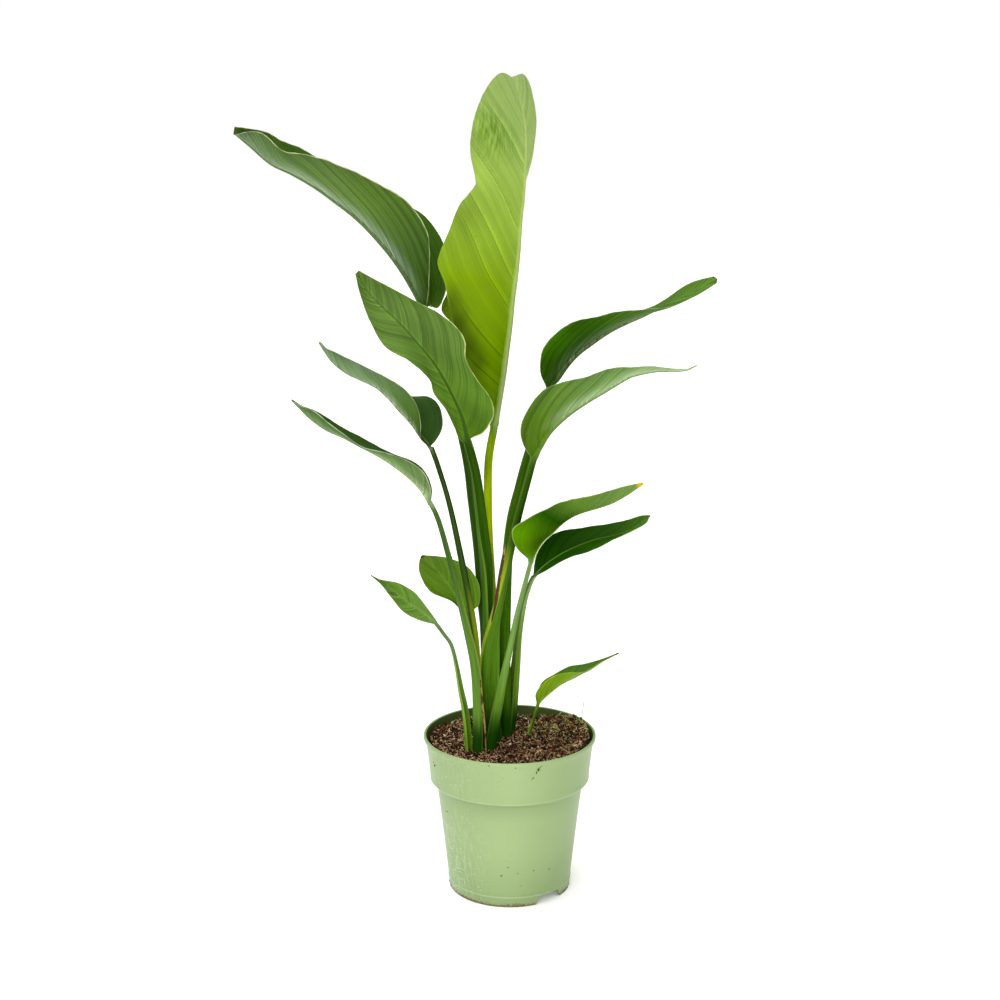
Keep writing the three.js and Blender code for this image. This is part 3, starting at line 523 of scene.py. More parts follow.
# Crumbs that stick to the outside of the pot: a smear on the rim band at the
# front right, single ones on the wall, and many where the foot stood in dirt.
STUCK_CRUMBS = [                                      # degrees round the pot, z, size in mm
    (-70.0, 187.5, 2.0), (-70.8, 185.6, 2.4), (-71.2, 183.4, 2.8), (-72.3, 181.2, 2.4), (-72.4, 179.4, 1.6),
    (-69.2, 189.2, 1.4),
    (-70.0, 183.8, 1.5), (-71.9, 184.4, 1.2), (-74.5, 174.0, 2.2), (-75.4, 172.0, 1.3), (-86.5, 189.5, 2.1),
    (-103.5, 191.0, 1.8),
    (-154.0, 169.0, 2.4), (-155.5, 172.5, 1.6), (-151.0, 109.5, 2.2), (-97.5, 42.5, 2.1),
    (-83.5, 45.5, 1.8), (-69.0, 47.5, 1.7),
    (-53.0, 44.0, 2.0), (-91.5, 54.0, 1.7), (-80.0, 28.5, 1.5), (20.0, 176.0, 2.2), (64.0, 90.0, 1.8),
    (112.0, 183.0, 2.3),
    (160.0, 60.0, 2.0), (85.0, 34.0, 2.0)]
draw = random.Random(18)
for _ in range(300):
    STUCK_CRUMBS.append((draw.uniform(0, 360), 0.4 + abs(draw.gauss(0, 1.8)), draw.uniform(0.5, 1.5)))
stuck = []
for angle, z, size in STUCK_CRUMBS:
    turn, radius = math.radians(angle), float(np.interp(z, [p[1] for p in POT_OUTSIDE],
            [p[0] for p in POT_OUTSIDE]))
    apart = min(abs((angle - notch + 180) % 360 - 180) for notch in FOOT_NOTCH_ANGLES)
    if z > FOOT_NOTCH_HEIGHT + 2 or apart > 18:
        stuck.append((radius * math.cos(turn), radius * math.sin(turn), max(z, size * 0.6), size))
scatter("stuck_crumbs", len(stuck), 19, rough_lump(2.6, 0.9), (1, 1), 1.0, 0, (-0.2, 0.5), peat,
    places=stuck)


# ---------------------------------------------------------------- leaves
# Each leaf is one grown piece: a channelled stalk that sheathes its neighbours
# at the foot and runs on as the blade's rib, with the two halves of the blade
# folded up from it. Young leaves are lime green, old ones dark and waxy.
# The leaves' places are read from a front view of the plant, 1000 pixels
# wide and high, seen from where the camera stands, as in the part's source. How
# far behind the pot's axis a place lies is judged.
VIEW_FROM = (-11.8, -1927, 906)
VIEW_TILT = math.radians(CAMERA_PITCH)
VIEW_CENTRE = 500                                     # pixels across and down
VIEW_FOCAL = 1666.7                                   # from the eye to the view's plane, in pixels


def seen(*places, digits=None):
    """Points [x, y, z] in whole mm, or to so many digits, from (pixels across, pixels down, y in mm)."""
    points = []
    for across, down, y in places:
        right, up = (across - VIEW_CENTRE) / VIEW_FOCAL, (VIEW_CENTRE - down) / VIEW_FOCAL
        reach = (y - VIEW_FROM[1]) / (math.cos(VIEW_TILT) + up * math.sin(VIEW_TILT))
        height = (up * math.cos(VIEW_TILT) - math.sin(VIEW_TILT)) * reach
        points.append([round(v, digits) for v in (VIEW_FROM[0] + right * reach, y, VIEW_FROM[2] + height)])
    return points


# stalk and rib are centre lines, and near and far are the two margins, all from
# base to tip. A stalk's first points are [x, y, z] in mm, and the rest are seen.
# turn is the way the fold turns from near to far; face_low is where the channel
# faces at the soil; half_width, opening (degrees) and keel give the stalk's
# section from the soil up; bow is how far a half arches, as a share of its width.
LEAVES = {}
LEAVES['leaf_centre'] = dict(
    turn=-1, face_low=[-1, 0.3, 0],
    stalk=[[-12, 21, 160]] + seen(
        (493.5, 680, 24.4), (492, 600, 26), (488.5, 540, 26), (487.5, 500, 26), (488.3, 460, 26)),
    rib=seen(
        (494, 425, 26), (498, 400, 27), (502, 375, 28), (505.5, 350, 28), (509, 325, 28),
        (512, 300, 28), (515, 275, 28), (517.5, 250, 27), (520, 225, 26), (522, 200, 24),
        (524, 175, 22), (525.5, 150, 20), (524.5, 124, 17), (519.5, 100, 12), (511, 79, 6)),
    near=seen(
        (490, 424, 24), (476, 400, 8), (466, 373, -4), (457, 345, -14), (450.5, 314, -24),
        (445, 285, -32), (438.5, 262, -34), (447, 233, -35), (458.5, 207, -36), (473.5, 183, -36),
        (470, 150, -35), (475, 116, -32), (484, 92, -24), (500, 73.5, -12), (511, 77, 2)),
    far=seen(
        (496, 424, 30), (483, 398, 44), (470, 365, 56), (456, 330, 66), (441.5, 311, 74),
        (447, 292, 80), (456, 268, 86), (466, 242, 90), (481, 214, 92), (503, 188, 92),
        (524, 165, 90), (533, 136, 84), (535, 108, 72), (526, 76, 40), (511.5, 77, 12)),
    half_width=[7, 7, 6, 5.5, 5], opening=[150, 120, 100, 80],
    keel=[5, 5, 5, 4.5], bow=0.06)
LEAVES['leaf_upper_left'] = dict(
    turn=1, face_low=[0.9, 0.2, 0],
    stalk=[[-28, 31, 160], [-29.5, 26, 304], [-33.5, 24, 355], [-38, 22, 418]] + seen(
        (472.5, 500, 21), (467, 460, 20), (456, 410, 22), (440, 350, 25)),
    rib=seen(
        (423, 306, 28), (411, 283, 29), (396, 260, 30), (380, 241, 30), (360, 220.5, 30),
        (338, 203, 29), (316, 187.5, 28), (293, 174, 26), (271, 163, 24), (250, 146.5, 20),
        (233.8, 133, 16)),
    near=seen(
        (427, 304.5, 24), (430, 284, 8), (430, 258, -6), (425.5, 230, -14), (408, 204, -20),
        (383, 185.5, -21), (352, 169.5, -20), (318, 156.5, -15), (288, 152, -8), (258, 132, 4),
        (234, 135, 14)),
    far=seen(
        (430, 306, 34), (440, 306, 52), (448, 276, 68), (443.5, 244, 80), (426, 218.5, 86),
        (401, 203, 86), (366, 182, 82), (330, 163.5, 72), (295, 146, 58), (262, 131, 38),
        (235, 127, 18)),
    half_width=[7, 5, 5, 5.3, 5], opening=[150, 120, 100, 90],
    keel=[5, 5, 4.5, 4], bow=0.1)
LEAVES['leaf_front_left'] = dict(
    turn=-1, face_low=[1, 0, 0],
    stalk=[[-23, 14, 160]] + seen(
        (488.5, 660, 7), (488, 610, 3), (487, 570, 0), (483, 535, -3), (479.5, 500, -6),
        (475, 470, -7)),
    rib=seen(
        (467, 440, -8), (462, 418, -11), (453.5, 397.5, -13), (443.5, 379.5, -14), (433, 362, -14),
        (420, 346, -14), (405.5, 329.5, -13), (390, 314, -12), (376, 301, -10), (364.5, 287, -6),
        (356.8, 271.8, 0)),
    near=seen(
        (471, 439, -9), (484, 432, -15), (493.5, 416, -20), (491.5, 399, -25), (477.5, 380.5, -29),
        (465.5, 360, -31), (463.5, 339, -33), (447, 319, -33), (419, 302, -29), (386, 284.5, -20),
        (358.5, 270.5, -2)),
    far=seen(
        (463, 443, -9), (458, 436, -13), (453, 424, -19), (445, 407, -26), (434.5, 393, -32),
        (429, 379, -35), (409, 361.5, -37), (385, 346.5, -35), (370, 321.5, -28),
        (359.5, 293.5, -16), (355, 274, -2)),
    half_width=[7, 8, 8, 6, 5], opening=[150, 130, 110, 90],
    keel=[5, 5, 4.5, 4], bow=0.06)
LEAVES['leaf_upper_right'] = dict(
    turn=-1, face_low=[-0.5, 0.9, 0],
    stalk=[[-5, 25, 160], [-6, 25, 292], [-5, 26, 355], [-3, 28, 404], [2, 32, 453], [11, 35, 492]] + seen(
        (528.5, 453, 38)),
    rib=seen(
        (549, 389, 40), (557, 378, 39), (567, 364, 38), (578, 352.5, 36), (592, 342, 34),
        (607, 332.5, 31), (624, 323.5, 28), (642, 315.5, 25), (662, 306.5, 22), (690, 293, 18),
        (717.5, 279, 14)),
    near=seen(
        (546, 387.5, 36), (539.5, 370, 24), (543, 349, 12), (558, 331, 5), (578, 320, 1),
        (598, 316.5, 0), (620, 311.5, 0), (645, 308.8, 2), (671, 306, 5), (698, 294.5, 8),
        (716.5, 283, 12)),
    far=seen(
        (546, 390, 44), (547, 372, 66), (556, 352, 88), (572, 338, 100), (590, 328, 104),
        (608, 320, 96), (628, 314, 82), (650, 307, 64), (672, 294, 46), (692, 282, 30),
        (713.5, 276.3, 16)),
    half_width=[7, 7, 6, 5], opening=[150, 110, 90],
    keel=[5, 5, 4.5, 4], bow=0.1)
LEAVES['leaf_right'] = dict(
    turn=-1, face_low=[-0.2, 1, 0],
    stalk=[[-22, 3, 160]] + seen(
        (490, 690, 1), (490.5, 660, 0), (493.5, 630, -2), (499, 600, -5), (507, 562, -7),
        (514.5, 530, -8), (521, 503, -8), (528, 478, -7)),
    rib=seen(
        (534, 457, -6), (541, 444, -8), (548, 433, -9), (557, 422.5, -10), (569, 413, -10),
        (586, 402, -10), (605, 390.5, -10), (622, 380.5, -10), (634, 375.5, -10), (656, 371, -10),
        (684, 370.2, -10), (696.5, 365, -10)),
    near=seen(
        (530, 456, -10), (523.5, 444, -22), (520.7, 428, -33), (528, 410, -40), (542, 391.5, -44),
        (560, 383, -44), (584, 377.5, -42), (605, 369.5, -38), (628, 366.2, -30),
        (652, 366.2, -22), (683, 368.8, -14), (696, 364.8, -11)),
    far=seen(
        (535, 455, -2), (534, 440, 10), (535, 422, 20), (541, 406, 28), (553, 395, 32),
        (570, 386.5, 33), (592, 380, 32), (614, 372.5, 28), (632, 369.5, 22), (655, 368.8, 12),
        (684, 369.8, 2), (697, 365, -7)),
    half_width=[13, 13.5, 12.5, 7, 4.8, 4.5, 4.5, 4.5, 4.5], opening=[130, 130, 110, 90],
    keel=[5, 5, 4.5, 4], bow=0.1)
LEAVES['leaf_mid_left'] = dict(
    turn=1, face_low=[1, 0.1, 0],
    stalk=[[-35, -12, 160]] + seen(
        (478.5, 690, -10.4), (477.5, 650, -10), (470, 600, -6), (460, 552, -8), (451, 508, -8),
        (441.5, 475, -8)),
    rib=seen(
        (431, 446, -8), (421, 434, -8), (411, 421, -8), (400.5, 409.5, -8), (389, 397, -8),
        (376, 386, -8), (361, 379, -8), (346, 372, -8), (333.5, 362, -8), (325, 352, -8),
        (319, 342, -8)),
    near=seen(
        (427, 446, -10), (420.8, 438, -19), (421.5, 424, -24), (418, 408, -27), (407, 391, -28),
        (390, 379, -27), (371, 370, -24), (355, 362, -20), (340, 354, -16), (326.5, 347.5, -12),
        (319.5, 342.5, -9)),
    far=seen(
        (431, 446, -4), (438, 438, 8), (443, 424, 17), (440, 406, 25), (428, 396.5, 32),
        (409, 395, 37), (389, 382, 36), (364, 371, 32), (345, 361, 20), (331, 351.5, 8),
        (319.5, 341.5, -6)),
    half_width=[5.5, 6, 5, 3.2, 3], opening=[150, 110, 90],
    keel=[4, 4, 3, 2.6], bow=0.1)
LEAVES['leaf_low_left'] = dict(
    turn=1, face_low=[0.75, 0.65, 0],
    stalk=[[-39, -26, 160]] + seen(
        (477.3, 702, -25), (474.5, 666, -24), (468, 633, -23), (458, 590, -21), (447.5, 550, -20),
        (438.5, 520, -19)),
    rib=seen(
        (431, 503, -18), (421, 488, -18), (408, 475.5, -18), (393, 464, -18), (376, 453.5, -18),
        (360, 445.5, -18), (343, 436.5, -18), (326, 429, -18), (310, 418, -18), (299.5, 408, -18),
        (291.3, 400.5, -18)),
    near=seen(
        (430.5, 499, -22), (430, 486, -30), (423, 472, -36), (408, 461.5, -38), (388, 453.8, -37),
        (364, 447, -35), (346, 435.7, -33), (330, 423, -30), (315, 411.5, -26), (302, 405.5, -22),
        (292, 401, -19)),
    far=seen(
        (431, 503, -14), (432, 488, 0), (427, 473.5, 14), (415, 462, 22), (394, 454.5, 25),
        (373, 444, 22), (353, 432.5, 16), (335, 421.8, 8), (318, 411.2, -2), (303, 405.8, -10),
        (291.5, 399.3, -16)),
    half_width=[7, 7, 4.5, 3.5, 3], opening=[120, 110, 100, 90],
    keel=[4, 4, 3, 2.6], bow=0.1)
LEAVES['leaf_small_back'] = dict(
    turn=-1, face_low=[0.5, -0.8, 0.1],
    stalk=[[-41, 5, 160]] + seen(
        (477, 690, 14), (472, 640, 18)),
    rib=seen(
        (466, 614, 22), (460, 603, 25), (452, 590, 30), (443.5, 577.5, 34), (434, 567.5, 38),
        (421, 556, 40)),
    near=seen(
        (469, 612, 18), (479, 604, 10), (479, 585, 6), (467, 567, 12), (447, 557.5, 24),
        (422.5, 554.8, 38)),
    far=seen(
        (464, 614, 20), (452, 601.5, 15), (431, 592, 14), (421.5, 577, 18), (418.5, 564, 28),
        (420.5, 556.5, 38)),
    half_width=[5, 4, 3, 2.5], opening=[110, 90, 90],
    keel=[3, 3, 2.4, 2], bow=0.05)
LEAVES['leaf_seedling_left'] = dict(
    turn=-1, face_low=[0.8, -0.5, 0.1],
    stalk=[[-49, -20, 160]] + seen(
        (466, 718, -20), (461, 690, -20), (456.5, 665, -19), (451, 645, -18), (444, 634, -18)),
    rib=seen(
        (434, 622, -18), (421, 611, -18), (405, 600, -18), (391, 589, -18), (380, 582, -18),
        (371, 575, -18)),
    near=seen(
        (436, 620, -20), (428, 609, -26), (416, 594, -30), (400, 584, -28), (381, 579.3, -21),
        (371.8, 575.2, -19)),
    far=seen(
        (434, 624, -20), (420, 620.5, -26), (403, 612, -30), (390.5, 597, -28),
        (380.5, 583.5, -22), (371, 576, -18)),
    half_width=[5.5, 4.5, 2.6, 2.2, 2.4], opening=[110, 90, 90],
    keel=[2.6, 2.4, 2, 1.6], bow=0.05)
LEAVES['leaf_low_right_front'] = dict(
    turn=-1, face_low=[-0.75, 0.65, 0.1],
    stalk=[[-26, -18, 160]] + seen(
        (496, 721, -18), (499, 702, -19), (504, 675, -19), (509.5, 648, -19), (517, 615, -17),
        (524.5, 585, -14)),
    rib=seen(
        (531, 561, -12), (536, 550, -12), (543, 540, -12), (552, 531.5, -12), (562, 523, -12),
        (573, 515.5, -13), (586, 510.5, -14), (600, 507, -15), (614, 501.5, -16), (629, 494, -17),
        (643, 484, -18)),
    near=seen(
        (528, 559, -16), (516, 547, -23), (512.5, 530, -30), (526, 520, -35), (541, 511, -38),
        (557, 503.5, -38), (574, 498.5, -36), (592, 496, -32), (609, 490.5, -28),
        (627, 485.5, -23), (642.5, 482, -18)),
    far=seen(
        (531, 561, -8), (526, 548, 8), (524, 534, 20), (534, 523, 26), (548, 514, 28),
        (562, 506.5, 28), (578, 502, 24), (594, 498, 18), (611, 493, 6), (628, 488, -6),
        (642.5, 483, -16)),
    half_width=[8.5, 7, 4.4, 2.9, 2.6], opening=[110, 100, 90],
    keel=[4, 4, 3, 2.4], bow=0.1)
LEAVES['leaf_low_right_back'] = dict(
    turn=-1, face_low=[-0.9, -0.3, 0.1],
    stalk=[[0, 43, 160]] + seen(
        (513.5, 702, 40), (516, 668, 34), (519, 635, 25), (524, 603, 14), (529, 586, 8)),
    rib=seen(
        (534, 576, 4), (541, 568, 3), (550, 560.5, 2), (561, 554, 1), (574, 547.5, 0),
        (587, 542, -1), (600, 538, -2), (613, 535.5, -2), (625, 531.5, -3), (637, 525, -4),
        (650, 515.8, -6)),
    near=seen(
        (535.5, 576, 2), (546, 570.5, -3), (558, 563.5, -8), (571, 557.5, -12), (585, 553, -15),
        (598, 547.5, -17), (611, 541.5, -18), (623, 535.5, -17), (636, 528.3, -14),
        (646, 522.5, -11), (650, 516.5, -8)),
    far=seen(
        (533, 575, 8), (534.5, 561, 16), (540, 547, 24), (549, 536.5, 29), (562, 530.5, 31),
        (578, 528, 31), (594, 525.3, 29), (610, 523.5, 25), (625, 520.5, 18), (639, 516, 8),
        (649.5, 514.8, -2)),
    half_width=[9, 8.5, 4.5, 3, 2.6], opening=[110, 100, 90],
    keel=[4, 4, 3, 2.4], bow=0.08)
LEAVES['leaf_seedling_right'] = dict(
    turn=-1, face_low=[-0.9, 0.3, 0.1],
    stalk=[[18, 31, 160]] + seen(
        (532, 722, 29)),
    rib=seen(
        (538, 704, 28), (543, 698, 28), (551, 691, 28), (562, 683.5, 28), (575, 677, 28),
        (590, 668.5, 28), (604, 659.5, 28), (619, 653.2, 28)),
    near=seen(
        (536.5, 703, 26), (535.5, 693, 20), (543, 682.5, 15), (554, 676, 12), (567, 673, 11),
        (585, 671.5, 14), (603, 661, 22), (618.5, 654, 27)),
    far=seen(
        (537.5, 704, 30), (538, 692, 36), (542.5, 681, 41), (554, 674, 45), (569, 666, 46),
        (583, 664.2, 43), (602, 658.3, 36), (618.5, 652.5, 29)),
    half_width=[3.2, 2.4, 2], opening=[110, 90, 90],
    keel=[2.2, 2, 1.6], bow=0.1)

# How a blade's surface is drawn: its thickness, and the mesh steps in mm.
BLADE_THICKNESS = 0.7
MARGIN_THICKNESS = 0.35
COLUMNS = 28                                          # steps from the rib to a margin
STALK_STEP, BLADE_STEP = 5.0, 2.4                     # mm between cross-sections
STALK_BOW = 0.22                                      # how far the stalk's channel is hollowed
LENGTH_STEPS = 150                                    # to measure the stalk, and again the blade
SKIN_MARKS = ("across", "along", "rim", "span", "vein", "damp", "painted_shading")


def smooth(points, t):
    """Point at t (0 to 1) on a smooth curve through evenly spaced points or numbers."""
    last = len(points) - 1
    s = min(max(t, 0.0), 1.0) * last
    i = min(int(s), last - 1)
    u = s - i
    b, c = points[i], points[i + 1]
    a = points[i - 1] if i > 0 else b * 2 - c
    d = points[i + 2] if i + 2 <= last else c * 2 - b
    return (b * 2 + (c - a) * u + (a * 2 - b * 5 + c * 4 - d) * (u * u) + (b * 3 - a - c * 3 + d)
        * (u * u * u)) * 0.5


def column_shares(core, width):
    """Distances from the rib, mm: close together on the stalk's round back, wider on the blade."""
    share = min(1.0, core / width)
    bend = min(1.0, max(0.0, (1.0 - share) / 0.75))
    out = []
    for j in range(COLUMNS + 1):
        k = j / COLUMNS
        split = share * k / 0.25 if k <= 0.25 else share + (1 - share) * (k - 0.25) / 0.75
        out.append(width * (k * (1 - bend) + split * bend))
    return out


def grow_leaf(name, leaf, skin, slot, seed, lean=(0.7, 1.2, 1.5), curl=0.3, swell=1.0, pleat=0.5,
              creases=(), nicks=(), damp=(), ruffle=0.5, rim_shading=(0.0, 0.0), painted_shading_patches=()):
    """Grow one leaf from the soil to its tip.

    lean: mm that a side vein runs tipwards per mm outwards, base to tip; curl: how much
    more at the margin. swell and pleat: mm of broad waves and of ridges along the veins;
    ruffle: mm that the margins wander. creases: [side, place along the rib, depth, from,
    to] in mm. nicks: [place along the rib, depth, reach] of the near margin's corners.
    damp: [along, across, size] in mm of a wet-looking patch on the near half. rims:
    painted light and shade, how much lighter the near and the far margin are drawn than
    the rib. tints: painted light and shade in lighter and darker patches, [along, across,
    reach along, reach across, how much], with negative places along on the stalk.
    """
    line = [Vector(p) for p in leaf["stalk"] + leaf["rib"]]
    near, far = [Vector(p) for p in leaf["near"]], [Vector(p) for p in leaf["far"]]
    turn = leaf["turn"]
    base_share = len(leaf["stalk"]) / (len(line) - 1)

    def centre(s):
        return smooth(line, (s + 1) * base_share if s < 0 else base_share + s * (1 - base_share))

    def tangent(s):
        return (centre(min(s + 1e-3, 1)) - centre(max(s - 1e-3, -1))).normalized()

    # arc length of the centre line, to space the cross-sections and to place the veins
    fine = [-1 + i / LENGTH_STEPS for i in range(2 * LENGTH_STEPS + 1)]
    lengths = [0.0]
    for s0, s1 in zip(fine, fine[1:]):
        lengths.append(lengths[-1] + (centre(s1) - centre(s0)).length)
    base_length, full_length = lengths[LENGTH_STEPS], lengths[-1]
    stalk_count, blade_count = int(base_length / STALK_STEP), int((full_length - base_length) / BLADE_STEP)
    stations = [-1 + i / stalk_count for i in range(stalk_count)] + [i / blade_count
        for i in range(blade_count + 1)]

    first = 1 / (len(near) - 1)
    spread = (near[1] - centre(first)).normalized() - (far[1] - centre(first)).normalized()
    blade_face = (tangent(first).cross(spread) * turn).normalized()

    ring_size = 4 * COLUMNS + 2
    bpy.ops.object.select_all(action="DESELECT")
    bpy.ops.mesh.primitive_grid_add(x_subdivisions=ring_size, y_subdivisions=len(stations) - 1, size=1)
    piece = bpy.context.object
    piece.name = name
    points = []
    marks = {label: [] for label in SKIN_MARKS + ("upper",)}
    for s in stations:
        c, t = centre(s), tangent(s)
        length = float(np.interp(s, fine, lengths)) - base_length
        if s < 0:
            q = s + 1
            face = Vector(leaf["face_low"]).normalized().lerp(blade_face, q)
            face = (face - t * face.dot(t)).normalized()
            half = math.radians(smooth(leaf["opening"], q)) / 2
            core = smooth(leaf["half_width"], q)
            side_a = Matrix.Rotation(-turn * half, 3, t) @ face * core
            side_b = Matrix.Rotation(turn * half, 3, t) @ face * core
            bow, keel = STALK_BOW, smooth(leaf["keel"], q)
        else:
            side_a, side_b = smooth(near, s) - c, smooth(far, s) - c
            if side_a.length < 1:
                side_a.normalize()
            if side_b.length < 1:
                side_b.normalize()
            face = (t.cross(side_a.normalized() - side_b.normalized()) * turn).normalized()
            ease = min(1.0, s * 6)
            bow = STALK_BOW * (1 - ease) + leaf["bow"] * ease
            keel = leaf["keel"][-1] * (1 - s) ** 0.8 + 0.15
            core = leaf["half_width"][-1] * (1 - 0.75 * s)
        lean_here = smooth(lean, s)
        halves = []
        for side, sign in ((side_a, 1), (side_b, -1)):
            width = side.length
            if s > 0:                                     # a margin is never quite straight
                wander = noise.noise(Vector((length / 11, sign, seed)))
                wander += 0.6 * noise.noise(Vector((length / 4.5, sign, seed + 9)))
                width += ruffle * min(1.0, width / 20) * wander
            for place, depth, reach in nicks if sign > 0 and s > 0 else ():
                width -= depth * math.exp(-abs(length - place) / reach)
            out_along = side.normalized()
            out = (t.cross(out_along) * (sign * turn)).normalized()
            core_here = min(core, width)
            upper, lower = [], []
            for m in column_shares(core_here, width):
                v = m / width
                lift = -4 * v * (1 - v) * bow * width
                vein = length - lean_here * m * (1 - curl / 2 + curl * v)
                wet = 0.0
                if s > 0:
                    grip = min(1.0, width / 30) * min(1.0, s * 8) * min(1.0, m / 12)
                    lift += swell * grip * v * 2.2 * noise.noise(Vector((vein / 42, m / 150, seed)))
                    lift += pleat * grip * noise.noise(Vector((vein / 9, m / 260, seed + 7 + 3 * sign)))
                    for crease_side, place, depth, start, end in creases:
                        if crease_side == sign:
                            fade = min(1.0, max(0.0, (m - start) / 10)) * min(1.0, max(0.0, (end - m) / 10))
                            lift += depth * fade * math.exp((vein - place) / 8 if vein < place
                                else (place - vein) / 1.3)
                    if damp and sign > 0:
                        wet = math.exp(-((length - damp[0]) / damp[2]) ** 2
                            - ((m - damp[1]) / damp[2] / 1.5) ** 2)
                # painted light and shade: lighter or darker towards the margins and in patches
                painted_shading = rim_shading[0 if sign > 0 else 1] * v * v if s > 0 else 0.0
                for at, off, reach, spread, amount in painted_shading_patches:
                    painted_shading += amount * math.exp(-((length - at) / reach) ** 2
                        - ((m * sign - off) / spread) ** 2)
                here = min(1.0, m / core_here)
                edge = min(1.0, (width - m) / 4)
                thick = MARGIN_THICKNESS + (BLADE_THICKNESS - MARGIN_THICKNESS) * edge
                body = keel * math.sqrt(1 - here * here) if here < 1 else 0.0
                down = -(face * (1 - here) + out * here).normalized()
                top = c + out_along * m + out * lift
                notes = (m * sign, length, width - m, s, vein, wet, painted_shading)
                upper.append((top, 1.0, notes))
                lower.append((top + down * (thick + body), 0.0, notes))
            halves.append((upper, lower))
        left, right = halves if turn > 0 else halves[::-1]
        ring = left[0][::-1] + right[0][1:] + right[1][::-1] + left[1][1:]
        ring.append(ring[0])
        for p, is_upper, notes in ring:
            points.append(p * MM)
            marks["upper"].append(is_upper)
            for label, value in zip(SKIN_MARKS, notes):
                marks[label].append(value)
    mesh = piece.data
    mesh.vertices.foreach_set("co", np.array([p[:] for p in points]).ravel())
    for label, values in marks.items():
        mesh.attributes.new(label, "FLOAT", "POINT").data.foreach_set("value", values)
    bpy.ops.object.mode_set(mode="EDIT")
    bpy.ops.mesh.select_all(action="SELECT")
    bpy.ops.mesh.remove_doubles(threshold=1e-6)
    bpy.ops.mesh.select_all(action="DESELECT")
    bpy.ops.mesh.select_non_manifold()
    bpy.ops.mesh.fill_holes(sides=0)
    bpy.ops.mesh.select_all(action="SELECT")
    bpy.ops.mesh.normals_make_consistent(inside=False)
    bpy.ops.object.mode_set(mode="OBJECT")
    finish_piece(piece, skin, smooth_angle=50)
    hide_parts(name.removesuffix("_grown"))


